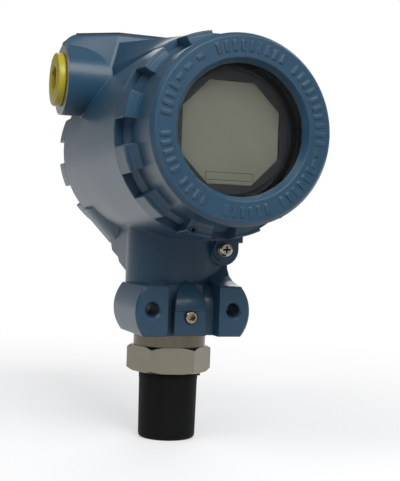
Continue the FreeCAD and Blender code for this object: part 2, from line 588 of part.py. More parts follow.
def lcd_backing():
    """White light plate between the display glass and its board."""
    front = LCD_Y + LCD_T
    return drum_turned([(front, 0), (front, BEZEL_R - 1.5), (DISPLAY_BOARD_Y, BEZEL_R - 1.5), (DISPLAY_BOARD_Y, 0)])


def post_places():
    """Places (x, z) of the three posts that carry the display."""
    return [around_drum(DISPLAY_POST_AT, a) for a in POST_ANGLES]


def display_board():
    """Round board with three ears over the posts."""
    y0, y1 = DISPLAY_BOARD_Y, DISPLAY_BOARD_Y + BOARD_T
    ears = [cylinder("y", 3.4, y0, y1, p) for p in post_places()]
    board = fuse([cylinder("y", DISPLAY_BOARD_R, y0, y1, (0, AXIS_Z))] + ears)
    return board.cut([cylinder("y", SCREW_R + 0.25, y0 - 1, y1 + 1, p) for p in post_places()])


def display_posts():
    """Hexagonal posts between the electronics board and the display board."""
    y0, y1 = DISPLAY_BOARD_Y + BOARD_T, MAIN_BOARD_Y
    posts = []
    for x, z in post_places():
        post = hex_bar("y", 4.6, y0, y1, (x, z))
        posts.append(post.cut(cylinder("y", SCREW_R + SEAT, y0 - 1, y0 + 7, (x, z))))
    return group(posts)


def pan_screw(head_at, direction, length, cross, shank_r=SCREW_R, head_r=HEAD_R, head_t=HEAD_T, slot=0.7):
    """Slotted cheese-head screw along Y; direction is the way that its shank points."""
    d = direction
    y = lambda a, b: (min(head_at + d * a, head_at + d * b), max(head_at + d * a, head_at + d * b))
    head = cylinder("y", head_r, *y(-head_t, 0), cross)
    shank = cylinder("y", shank_r, *y(-0.4, length), cross)
    y0, y1 = y(-head_t - 0.5, -head_t + 0.8)
    reach = head_r + 1
    groove = box(cross[0] - reach, cross[0] + reach, y0, y1, cross[1] - slot / 2, cross[1] + slot / 2)
    return fuse([head, shank]).cut(groove)


def display_screws():
    """Screws through the display board into the posts."""
    return group([pan_screw(DISPLAY_BOARD_Y, 1, BOARD_T + 5.5, p, head_r=DISPLAY_HEAD_R)
                  for p in post_places()])


def main_post_places():
    """Places (x, z) of the posts that carry the electronics board."""
    return [around_drum(MAIN_POST_AT, a + 30) for a in POST_ANGLES]


def electronics_board():
    """Round circuit board, drilled over its posts."""
    y0, y1 = MAIN_BOARD_Y, MAIN_BOARD_Y + BOARD_T
    board = cylinder("y", MAIN_BOARD_R, y0, y1, (0, AXIS_Z))
    relief = box(-6, 6, y0 - 1, y1 + 1, AXIS_Z - MAIN_BOARD_R - 1, AXIS_Z - MAIN_BOARD_R + 5.5)
    holes = [cylinder("y", SCREW_R + 0.25, y0 - 1, y1 + 1, p) for p in main_post_places()]
    return board.cut(holes + [relief])


def board_posts():
    """Round posts between the partition and the electronics board."""
    y0, y1 = MAIN_BOARD_Y + BOARD_T, PARTITION_Y
    return group([cylinder("y", POST_R, y0, y1, p).cut(
        cylinder("y", SCREW_R + SEAT, y0 - 1, y1 + 1, p)) for p in main_post_places()])


def board_screws():
    """Long screws through the electronics board and its posts into the partition."""
    length = PARTITION_Y - MAIN_BOARD_Y + 2.2
    return group([pan_screw(MAIN_BOARD_Y, 1, length, p) for p in main_post_places()])


def electronics_can():
    """Metal shield over the analogue part of the electronics board, open at the board."""
    x0, x1, z0, z1 = -16.0, 10.0, AXIS_Z - 12.0, AXIS_Z + 12.0
    y0, y1 = MAIN_BOARD_Y - 7.0, MAIN_BOARD_Y
    return box(x0, x1, y0, y1, z0, z1).cut(box(x0 + 0.6, x1 - 0.6, y0 + 0.6, y1 + 1, z0 + 0.6, z1 - 0.6))


def board_chips():
    """Packages soldered on both faces of the electronics board."""
    front, rear = MAIN_BOARD_Y, MAIN_BOARD_Y + BOARD_T
    def chip(x, z, w, h, y0, y1):
        return box(x - w / 2, x + w / 2, y0, y1, AXIS_Z + z - h / 2, AXIS_Z + z + h / 2)

    shapes = [chip(17.5, 4, 9, 9, front - 1.8, front), chip(17.0, -9, 6, 8, front - 1.6, front),
              chip(-3, 19, 12, 5, front - 2.4, front), chip(-8, 6, 12, 12, rear, rear + 2.0),
              chip(10, -6, 8, 6, rear, rear + 1.6), chip(-10, -12, 7, 5, rear, rear + 1.6)]
    shapes += [cylinder("y", 3.0, front - 8.0, front, (8 + 8 * k, AXIS_Z - 20 + 2 * k)) for k in range(2)]
    return group(shapes)


def display_link():
    """Socket and pins that join the display board to the electronics board."""
    x, z = 15.0, AXIS_Z + 19.0
    y0, y1 = DISPLAY_BOARD_Y + BOARD_T, MAIN_BOARD_Y
    header = box(x - 6, x + 6, y1 - 9.0, y1, z - 2.5, z + 2.5)
    socket = box(x - 5, x + 5, y0, y0 + 8.0, z - 2.0, z + 2.0)
    pins = [box(x - 4.2 + 2.54 * k, x - 3.6 + 2.54 * k, y0 + 7.5, y1 - 8.5, z - 0.3, z + 0.3)
            for k in range(4)]
    return fuse([header, socket] + pins)


# ----------------------------------------------------------------------------------------------
# Partition fittings and terminals in the rear compartment
# ----------------------------------------------------------------------------------------------
def feedthrough_places():
    """Places (x, z) of the sealed conductors through the partition."""
    return [(x, AXIS_Z - 2.0) for x in (-9.0, 0.0, 9.0)]


def feedthrough_seals():
    """Cast sleeves around the conductors."""
    y0, y1 = PARTITION_Y - 0.6, PARTITION_Y + PARTITION_T + 0.6
    wall = [cylinder("y", FEED_R - 0.02, y0, y1, p) for p in feedthrough_places()]
    return group([s.cut(cylinder("y", 0.62, y0 - 1, y1 + 1, p)) for s, p in zip(wall, feedthrough_places())])


def feedthrough_pins():
    """Conductors from the electronics board to the terminal block."""
    y0, y1 = MAIN_BOARD_Y + BOARD_T, PARTITION_Y + PARTITION_T + 3.0
    return group([cylinder("y", 0.6, y0, y1, p) for p in feedthrough_places()])


def terminal_places():
    """Places (x, z) of the wiring terminals."""
    return [((k - 1.5) * TERMINAL_PITCH, AXIS_Z - 10.0) for k in range(4)]


def terminal_fixing_places():
    """Places (x, z) of the screws that hold the terminal block."""
    return [(-22.0, AXIS_Z + 2.6), (22.0, AXIS_Z + 2.6)]


def terminal_block():
    """Moulded block with partition ribs between four terminals, recessed over the conductors."""
    y0 = PARTITION_Y + PARTITION_T
    y1 = y0 + TERMINAL_T
    z0, z1 = AXIS_Z + TERMINAL_DZ0, AXIS_Z + TERMINAL_DZ1
    body = box(-TERMINAL_X, TERMINAL_X, y0, y0 + TERMINAL_BODY_T, z0, z1)
    ribs = [box(x - 0.9, x + 0.9, y0 + TERMINAL_BODY_T - 1, y1, z0, AXIS_Z - 2.0)
            for x in ((k - 2) * TERMINAL_PITCH for k in range(5))]
    half_w = 2 * TERMINAL_PITCH + 0.9
    back = box(-half_w, half_w, y0 + TERMINAL_BODY_T - 1, y1, AXIS_Z - 3.8, AXIS_Z - 2.0)
    block = fuse([body, back] + ribs)
    cuts = [cylinder("y", FEED_R + GAP, y0 - 1, y0 + 4.0, p) for p in feedthrough_places()]
    cuts += [cylinder("y", TERMINAL_SCREW_R + SEAT, y0 + 2.0, y1, p) for p in terminal_places()]
    cuts += [cylinder("y", SCREW_R + 0.25, y0 - 1, y1, p) for p in terminal_fixing_places()]
    return block.cut(cuts)


def terminal_clamps():
    """Square washers under the terminal screws."""
    y0 = PARTITION_Y + PARTITION_T + TERMINAL_BODY_T
    clamps = []
    for x, z in terminal_places():
        plate = box(x - 3.9, x + 3.9, y0, y0 + 1.2, z - 3.9, z + 3.9)
        clamps.append(plate.cut(cylinder("y", TERMINAL_SCREW_R + 0.2, y0 - 1, y0 + 2, (x, z))))
    return group(clamps)


def terminal_screw(place):
    """One wiring screw with a slotted head, above its square washer."""
    y0 = PARTITION_Y + PARTITION_T + TERMINAL_BODY_T + 1.2
    return pan_screw(y0, -1, 7.0, place, TERMINAL_SCREW_R, TERMINAL_HEAD_R, 2.4, 1.0)


def terminal_fixings():
    """Screws that hold the terminal block on the partition."""
    y0 = PARTITION_Y + PARTITION_T + TERMINAL_BODY_T
    return group([pan_screw(y0, -1, TERMINAL_BODY_T + 2.2, p) for p in terminal_fixing_places()])


def inner_ground_screw():
    """Earth screw inside the terminal compartment."""
    y0 = PARTITION_Y + PARTITION_T + 5.0
    return pan_screw(y0, -1, 6.4, INNER_GROUND_AT, INNER_GROUND_R, 3.4, 2.2, 0.9)


# ----------------------------------------------------------------------------------------------
# Fittings outside the housing
# ----------------------------------------------------------------------------------------------
def conduit_plug():
    """Plastic plug of the left entry: flange, plain thread and a hexagon socket."""
    cross = (CONDUIT_Y, AXIS_Z + CONDUIT_DZ)
    face = -CONDUIT_END - PLUG_SEAL_T
    front = face - PLUG_FLANGE_T
    flange = cylinder("x", PLUG_FLANGE_R, front + 0.8, face, cross)
    rim = cone("x", PLUG_FLANGE_R - 0.8, PLUG_FLANGE_R, front, front + 0.8, cross)
    shank = cylinder("x", CONDUIT_BORE_R - RUN, face - 0.5, face + PLUG_L, cross)
    socket = hex_bar("x", PLUG_SOCKET_AF, front - 1, front + PLUG_SOCKET_DEPTH, cross, 30)
    return fuse([flange, rim, shank]).cut(socket)


def conduit_plug_seal():
    """Flat ring under the plug's flange."""
    cross = (CONDUIT_Y, AXIS_Z + CONDUIT_DZ)
    x0, x1 = -CONDUIT_END - PLUG_SEAL_T + 0.05, -CONDUIT_END - 0.05
    outer = cylinder("x", PLUG_FLANGE_R + 0.4, x0, x1, cross)
    return outer.cut(cylinder("x", CONDUIT_BORE_R + 0.1, x0 - 1, x1 + 1, cross))


def nameplate():
    """Thin plate that covers the saddle's pad, drilled for its pins."""
    z = AXIS_Z + SADDLE_TOP_DZ
    outline = long_hexagon(z, 0.0, SADDLE_EDGE + PLATE_MARGIN)
    plate = Part.Face(outline).extrude(V(0, 0, PLATE_T))
    holes = [cylinder("z", PLATE_PIN_R + SEAT, z - 1, z + 2, (x, CONDUIT_Y))
             for x in (-PLATE_PIN_X, PLATE_PIN_X)]
    return plate.cut(holes)


def nameplate_pins():
    """Two drive pins with domed heads."""
    z = AXIS_Z + SADDLE_TOP_DZ + PLATE_T
    pins = []
    for x in (-PLATE_PIN_X, PLATE_PIN_X):
        shank = cylinder("z", PLATE_PIN_R, z - 3.6, z + 0.2, (x, CONDUIT_Y))
        pins.append(fuse([shank, cone("z", 2.0, 1.2, z, z + 0.8, (x, CONDUIT_Y))]))
    return group(pins)


def ground_washer():
    """Round spring washer under the ground screw."""
    y1 = GROUND_BOSS_Y
    plate = cylinder("y", GROUND_HEAD_R + 0.1, y1 - 1.0, y1 - 0.05, (GROUND_X, GROUND_Z))
    return plate.cut(cylinder("y", GROUND_SHANK_R + RUN, y1 - 2, y1 + 1, (GROUND_X, GROUND_Z)))


def ground_screw():
    """Ground screw: pan head with a cross recess."""
    y0 = GROUND_BOSS_Y - 1.0 - 0.05
    head = cylinder("y", GROUND_HEAD_R, y0 - 1.4, y0, (GROUND_X, GROUND_Z))
    crown = cone("y", GROUND_HEAD_R - 0.8, GROUND_HEAD_R, y0 - 2.2, y0 - 1.4, (GROUND_X, GROUND_Z))
    shank = cylinder("y", GROUND_SHANK_R, y0 - 0.5, y0 + 9.5, (GROUND_X, GROUND_Z))
    bar = box(GROUND_X - 1.7, GROUND_X + 1.7, y0 - 3, y0 - 1.0, GROUND_Z - 0.4, GROUND_Z + 0.4)
    cross = bar.copy()
    cross.rotate(V(GROUND_X, 0, GROUND_Z), Y_AXIS, 90)
    return fuse([head, crown, shank]).cut([bar, cross])


def lock_screw():
    """Socket set screw that stops the sensor module from turning."""
    front, tip = PAD_Y - LOCK_OUT, -SHAFT_R + 0.7
    body = fuse([cone("y", LOCK_R - 0.5, LOCK_R, front, front + 0.5, (0, LOCK_Z)),
                 cylinder("y", LOCK_R, front + 0.5, tip - 1.2, (0, LOCK_Z)),
                 cone("y", LOCK_R, LOCK_R - 0.9, tip - 1.2, tip, (0, LOCK_Z))])
    return body.cut(hex_bar("y", 3.0, front - 1, front + 3.0, (0, LOCK_Z)))


def jam_screw(y_face, side):
    """Socket screw through a cover's tooth; its tip stays just inside the tooth's housing side."""
    cross = around_drum(JAM_PITCH_R, JAM_ANGLE)
    inner = y_face + side * (GAP + 0.1)
    outer = y_face + side * (GAP + TOOTH_L + 0.4)
    body = cylinder("y", JAM_R, min(inner, outer), max(inner, outer), cross)
    mouth = sorted((outer + side * 0.5, outer - side * 1.8))
    return body.cut(hex_bar("y", 1.5, mouth[0], mouth[1], cross))


# ----------------------------------------------------------------------------------------------
# Sensor module
# ----------------------------------------------------------------------------------------------
def chamfered_hex():
    """Hexagon with its corners turned off at top and bottom."""
    bar = hex_bar("z", HEX_AF, HEX_Z0, HEX_Z1, (0, 0), HEX_TURN)
    corner = HEX_AF / 2 / math.cos(math.pi / 6)
    flat = HEX_AF / 2 + 0.5
    rise = (corner - flat) * math.tan(math.radians(30))
    limit = turned([(0, HEX_Z0), (flat, HEX_Z0), (corner, HEX_Z0 + rise), (corner, HEX_Z1 - rise),
                    (flat, HEX_Z1), (0, HEX_Z1)])
    return bar.common(limit)


def sensor_body():
    """Turned body: nipple, wrench hexagon, grooved shaft and stem, bored for the measuring cell."""
    shaft_chamfer = 0.8
    lock0, lock1 = LOCK_Z - LOCK_R - 0.4, LOCK_Z + LOCK_R + 0.4
    seal0, seal1 = SEAL_Z - SEAL_SECTION * 0.6, SEAL_Z + SEAL_SECTION * 0.6
    groove_r = SHAFT_R - LOCK_GROOVE
    seal_r = SHAFT_R - SEAL_SECTION + 0.1
    core = turned([(PORT_R, 0), (NIPPLE_R - 1.2, 0), (NIPPLE_R, 1.2), (NIPPLE_R, NIPPLE_L),
                   (RELIEF_R, NIPPLE_L + 0.8), (RELIEF_R, HEX_Z0), (HEX_AF / 2 - 1.0, HEX_Z0),
                   (HEX_AF / 2 - 1.0, HEX_Z1), (SHOW_R, HEX_Z1), (SHOW_R, COLLAR_Z - GAP),
                   (SHAFT_R, COLLAR_Z - GAP), (SHAFT_R, seal0),
                   (seal_r, seal0), (seal_r, seal1), (SHAFT_R, seal1), (SHAFT_R, lock0),
                   (groove_r, lock0), (groove_r, lock1), (SHAFT_R, lock1),
                   (SHAFT_R, SHAFT_TOP - shaft_chamfer), (SHAFT_R - shaft_chamfer, SHAFT_TOP),
                   (STEM_R, SHAFT_TOP), (STEM_R, STEM_TOP), (CHAMBER_R, STEM_TOP), (CHAMBER_R, CHAMBER_Z),
                   (LEDGE_R, CHAMBER_Z), (PORT_R, CHAMBER_Z - 0.9)])
    ring = chamfered_hex().cut(cylinder("z", HEX_AF / 2 - 1.2, HEX_Z0 - 1, HEX_Z1 + 1))
    return fuse([core, ring])


def isolating_diaphragm():
    """Thin corrugated disc that closes the pressure port."""
    z0 = CHAMBER_Z
    r = CHAMBER_R - 0.02
    step = 0.25
    outline = [(0, z0), (2.0, z0), (3.2, z0 + step), (4.4, z0), (5.6, z0 + step), (6.8, z0), (r, z0),
               (r, z0 + DIAPHRAGM_T), (6.8, z0 + DIAPHRAGM_T), (5.6, z0 + DIAPHRAGM_T + step),
               (4.4, z0 + DIAPHRAGM_T), (3.2, z0 + DIAPHRAGM_T + step), (2.0, z0 + DIAPHRAGM_T),
               (0, z0 + DIAPHRAGM_T)]
    return turned(outline)


def sensor_capsule():
    """Oil-filled measuring cell welded into the sensor body."""
    r = CHAMBER_R - 0.02
    z0 = CHAMBER_Z + DIAPHRAGM_T
    return turned([(0, z0 + 0.6), (r - 3.0, z0 + 0.6), (r - 2.4, z0), (r, z0), (r, CAPSULE_STEP),
                   (CAPSULE_R, CAPSULE_STEP + 1.0), (CAPSULE_R, CAPSULE_TOP), (0, CAPSULE_TOP)])


def header_pins():
    """Contact pins in the top of the measuring cell."""
    places = [(PIN_CIRCLE * math.cos(math.radians(60 * k)), PIN_CIRCLE * math.sin(math.radians(60 * k)))
              for k in range(6)]
    return group([cylinder("z", 0.35, CAPSULE_TOP, SENSOR_BOARD_Z, p) for p in places])


def sensor_board():
    """Small round board on the contact pins, with its socket on the axis."""
    top = SENSOR_BOARD_Z + BOARD_T
    disc = cylinder("z", CHAMBER_R - 0.4, SENSOR_BOARD_Z, top)
    chip = box(-7.0, -3.6, -2.4, 2.4, top, top + 1.6)
    socket = cylinder("z", LEAD_R + 1.4, top, top + SOCKET_H)
    socket = socket.cut(cylinder("z", LEAD_R + 0.3, top + 0.8, top + SOCKET_H + 1))
    return fuse([disc, chip, socket])


def sensor_lead():
    """Round screened lead from the sensor's socket through the neck to the electronics board."""
    top_z = AXIS_Z - MAIN_BOARD_R + 1.5
    board_y = MAIN_BOARD_Y + BOARD_T + 1.0
    foot = SENSOR_BOARD_Z + BOARD_T + 1.4
    path = [V(0, 0, foot), V(0, 0, foot + 7.0), V(0, LEAD_Y, STEM_TOP + 1.8), V(0, LEAD_Y, AXIS_Z - BORE_R + 1.4),
            V(0, board_y, top_z)]
    return bent_rod(path, LEAD_R)


def bent_rod(points, r):
    """Round rod along straight runs joined by tangent arcs."""
    edges = []
    start = points[0]
    for before, corner, after in zip(points, points[1:], points[2:]):
        u = (corner - before).normalize()
        w = (after - corner).normalize()
        turn = math.acos(max(-1.0, min(1.0, u.dot(w))))
        shorter = min((corner - before).Length, (after - corner).Length)
        back = 0.45 * shorter
        radius = back / math.tan(turn / 2)
        inward = (w - u).normalize()
        a, b = corner - u * back, corner + w * back
        middle = corner + inward * (radius / math.cos(turn / 2) - radius)
        edges.append(Part.makeLine(start, a))
        edges.append(Part.Arc(a, middle, b).toShape())
        start = b
    edges.append(Part.makeLine(start, points[-1]))
    path = Part.Wire(edges)
    first = (points[1] - points[0]).normalize()
    return path.makePipeShell([Part.Wire(Part.makeCircle(r, points[0], first))], True, False)


def neck_seal():
    """Round ring in the groove of the shaft."""
    outer = SHAFT_R + RUN - 0.02
    section = octagon_section(outer - SEAL_SECTION / 2, SEAL_SECTION, SEAL_Z)
    return turned([(r, z) for z, r in section])


def process_cap():
    """Soft cap over the process thread, with a bead round its mouth and a pull tab."""
    inner = NIPPLE_R + RUN
    shell = turned([(0, CAP_Z0), (CAP_R - 0.9, CAP_Z0), (CAP_R - 0.2, CAP_Z0 + 0.6), (CAP_R, CAP_Z0 + 1.6),
                    (CAP_R + 0.35, CAP_Z1 - CAP_BEAD_H - 1), (CAP_BEAD_R, CAP_Z1 - CAP_BEAD_H),
                    (CAP_BEAD_R, CAP_Z1 - 0.6), (CAP_BEAD_R - 0.6, CAP_Z1), (inner, CAP_Z1),
                    (inner, CAP_Z0 + CAP_FLOOR), (0, CAP_Z0 + CAP_FLOOR)])
    tab = box(CAP_BEAD_R - 1.0, CAP_BEAD_R + 1.0, -2.0, 2.0, CAP_Z1 - 1.6, CAP_Z1 - 0.4)
    tab.rotate(V(0, 0, 0), Z_AXIS, -15)
    return fuse([shell, tab])


# ----------------------------------------------------------------------------------------------
def main():
    os.makedirs("parts", exist_ok=True)
    gasket, glass, retainer = window_parts()
    nodes = {
        "housing": housing(),
        "front_cover": front_cover(),
        "window_gasket": gasket,
        "window_glass": glass,
        "glass_retaining_ring": retainer,
        "front_cover_seal": cover_seal(DRUM_FRONT, -1),
        "rear_cover": rear_cover(),
        "rear_cover_seal": cover_seal(DRUM_REAR, 1),
        "display_bezel": display_bezel(),
        "lcd_panel": lcd_panel(),
        "lcd_backing": lcd_backing(),
        "display_board": display_board(),
        "display_posts": display_posts(),
        "display_screws": display_screws(),
        "electronics_board": electronics_board(),
        "electronics_can": electronics_can(),
        "board_chips": board_chips(),
        "board_posts": board_posts(),
        "board_screws": board_screws(),
        "display_link": display_link(),
        "feedthrough_seals": feedthrough_seals(),
        "feedthrough_pins": feedthrough_pins(),
        "terminal_block": terminal_block(),
        "terminal_clamps": terminal_clamps(),
        "terminal_fixings": terminal_fixings(),
        "inner_ground_screw": inner_ground_screw(),
        "conduit_plug": conduit_plug(),
        "conduit_plug_seal": conduit_plug_seal(),
        "nameplate": nameplate(),
        "nameplate_pins": nameplate_pins(),
        "ground_washer": ground_washer(),
        "ground_screw": ground_screw(),
        "sensor_lock_screw": lock_screw(),
        "front_jam_screw": jam_screw(DRUM_FRONT, -1),
        "rear_jam_screw": jam_screw(DRUM_REAR, 1),
        "sensor_body": sensor_body(),
        "isolating_diaphragm": isolating_diaphragm(),
        "sensor_capsule": sensor_capsule(),
        "header_pins": header_pins(),
        "sensor_board": sensor_board(),
        "sensor_lead": sensor_lead(),
        "neck_seal": neck_seal(),
        "process_cap": process_cap(),
    }
    for k, place in enumerate(terminal_places()):
        nodes["terminal_screw_%d" % (k + 1)] = terminal_screw(place)
    for name, shape in nodes.items():
        save(name, shape)


main()
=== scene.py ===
"""Pressure transmitter: finishes, fine details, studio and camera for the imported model.

Every length is in metres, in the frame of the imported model: Z up along the sensor's axis, the
display facing -Y, the origin at the open end of the process nipple.
"""

from __future__ import annotations

import json
import logging
import math
from dataclasses import dataclass
from enum import Enum

import bmesh
import bpy
from mathutils import Matrix, Vector
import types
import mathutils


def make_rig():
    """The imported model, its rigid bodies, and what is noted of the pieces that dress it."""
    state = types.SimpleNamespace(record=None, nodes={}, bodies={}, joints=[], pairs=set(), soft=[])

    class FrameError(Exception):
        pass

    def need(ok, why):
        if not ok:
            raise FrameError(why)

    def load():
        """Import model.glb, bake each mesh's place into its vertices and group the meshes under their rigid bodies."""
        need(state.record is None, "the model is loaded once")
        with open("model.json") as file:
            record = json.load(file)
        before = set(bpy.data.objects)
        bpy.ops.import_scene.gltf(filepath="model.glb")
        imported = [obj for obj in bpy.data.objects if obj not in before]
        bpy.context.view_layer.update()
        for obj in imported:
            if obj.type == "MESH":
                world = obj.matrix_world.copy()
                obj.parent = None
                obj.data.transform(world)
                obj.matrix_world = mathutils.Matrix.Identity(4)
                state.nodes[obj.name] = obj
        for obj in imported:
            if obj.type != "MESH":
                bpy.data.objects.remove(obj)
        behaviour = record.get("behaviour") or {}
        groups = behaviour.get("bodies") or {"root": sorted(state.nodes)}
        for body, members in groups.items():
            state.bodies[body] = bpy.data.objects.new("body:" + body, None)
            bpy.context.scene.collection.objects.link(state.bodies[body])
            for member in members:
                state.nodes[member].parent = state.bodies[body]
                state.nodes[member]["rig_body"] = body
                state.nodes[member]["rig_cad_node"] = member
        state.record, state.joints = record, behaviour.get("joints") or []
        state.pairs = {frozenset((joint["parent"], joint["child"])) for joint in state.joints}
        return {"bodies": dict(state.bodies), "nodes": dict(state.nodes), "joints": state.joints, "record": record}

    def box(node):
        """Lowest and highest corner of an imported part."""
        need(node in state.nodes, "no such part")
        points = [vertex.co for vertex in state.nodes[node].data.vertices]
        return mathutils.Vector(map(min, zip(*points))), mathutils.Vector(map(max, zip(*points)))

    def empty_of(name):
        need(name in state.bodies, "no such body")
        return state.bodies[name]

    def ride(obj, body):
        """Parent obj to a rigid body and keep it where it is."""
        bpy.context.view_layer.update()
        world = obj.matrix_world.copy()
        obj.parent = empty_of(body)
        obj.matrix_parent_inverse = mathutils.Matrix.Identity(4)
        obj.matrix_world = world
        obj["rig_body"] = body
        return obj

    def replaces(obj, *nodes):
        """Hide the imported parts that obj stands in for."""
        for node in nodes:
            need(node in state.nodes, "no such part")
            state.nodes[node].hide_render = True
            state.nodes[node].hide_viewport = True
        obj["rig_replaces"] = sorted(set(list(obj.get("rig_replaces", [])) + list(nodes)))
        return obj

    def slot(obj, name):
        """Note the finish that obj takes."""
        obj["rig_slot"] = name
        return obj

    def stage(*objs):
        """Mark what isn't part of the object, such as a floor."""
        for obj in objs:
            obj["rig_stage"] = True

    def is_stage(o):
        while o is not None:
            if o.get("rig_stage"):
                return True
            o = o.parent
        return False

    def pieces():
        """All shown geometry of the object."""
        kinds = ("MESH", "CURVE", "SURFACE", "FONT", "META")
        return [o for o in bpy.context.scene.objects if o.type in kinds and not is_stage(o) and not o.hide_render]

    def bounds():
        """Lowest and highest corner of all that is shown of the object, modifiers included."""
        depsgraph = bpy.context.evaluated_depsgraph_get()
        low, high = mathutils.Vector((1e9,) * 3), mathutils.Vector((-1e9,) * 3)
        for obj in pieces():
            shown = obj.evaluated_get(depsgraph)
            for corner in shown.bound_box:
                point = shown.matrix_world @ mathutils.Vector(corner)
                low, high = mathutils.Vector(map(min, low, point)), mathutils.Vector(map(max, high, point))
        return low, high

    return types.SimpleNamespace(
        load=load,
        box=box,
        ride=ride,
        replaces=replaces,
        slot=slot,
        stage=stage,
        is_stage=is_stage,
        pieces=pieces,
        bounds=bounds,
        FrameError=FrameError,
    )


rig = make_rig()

LOG = logging.getLogger("pressure_transmitter")
MM = 0.001
Rgb = tuple[float, float, float]
Names = tuple[str, ...]
Pairs = tuple[tuple[str, str], ...]
SIZE_FILE = "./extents.json"
SHARP = math.radians(32)
BRACKET_HOLE_X = (-18.0 * MM, 18.0 * MM)
BRACKET_HOLE_Z = 57.6 * MM
BRACKET_HOLE_R = 2.85 * MM
BRACKET_HOLE_SPAN = (-31.0 * MM, -14.0 * MM)
ENTRY_R = 9.5 * MM
# How far the front cover's seal stands out past the bore, and the covers' joints past the casting.
SEAL_OVER_BORE = 1.0 * MM
COVER_JOINT = 0.3 * MM
# Driver recesses: radius, and their two ends below the screw's outer face.
HEXAGON_RECESS = (1.3 * MM, 0.15 * MM, 3.0 * MM)
CROSS_RECESS = (2.4 * MM, 0.55 * MM, 1.9 * MM)


class Axis(Enum):
    """Axis of a turned or machined zone."""

    X = 0
    Y = 1
    Z = 2


class Side(Enum):
    """Side of a plane that a zone lies on."""

    ABOVE = "GREATER_THAN"
    BELOW = "LESS_THAN"


# ---- Node helpers ----
def linear(red: int, green: int, blue: int) -> Rgb:
    """Linear colour of an 8-bit display colour.

    Args:
        red: Red, 0 to 255.
        green: Green, 0 to 255.
        blue: Blue, 0 to 255.

    Returns:
        The linear red, green and blue.
    """
    def one(value: int) -> float:
        """Linear value of one channel."""
        v = value / 255.0
        return v / 12.92 if v <= 0.04045 else ((v + 0.055) / 1.055) ** 2.4
    return one(red), one(green), one(blue)


def scaled(color: Rgb, factor: float) -> Rgb:
    """Lighter or darker colour, at most white."""
    return tuple(min(1.0, c * factor) for c in color)


def rgba(color: Rgb) -> tuple[float, float, float, float]:
    """Colour with full opacity."""
    return (*color, 1.0)


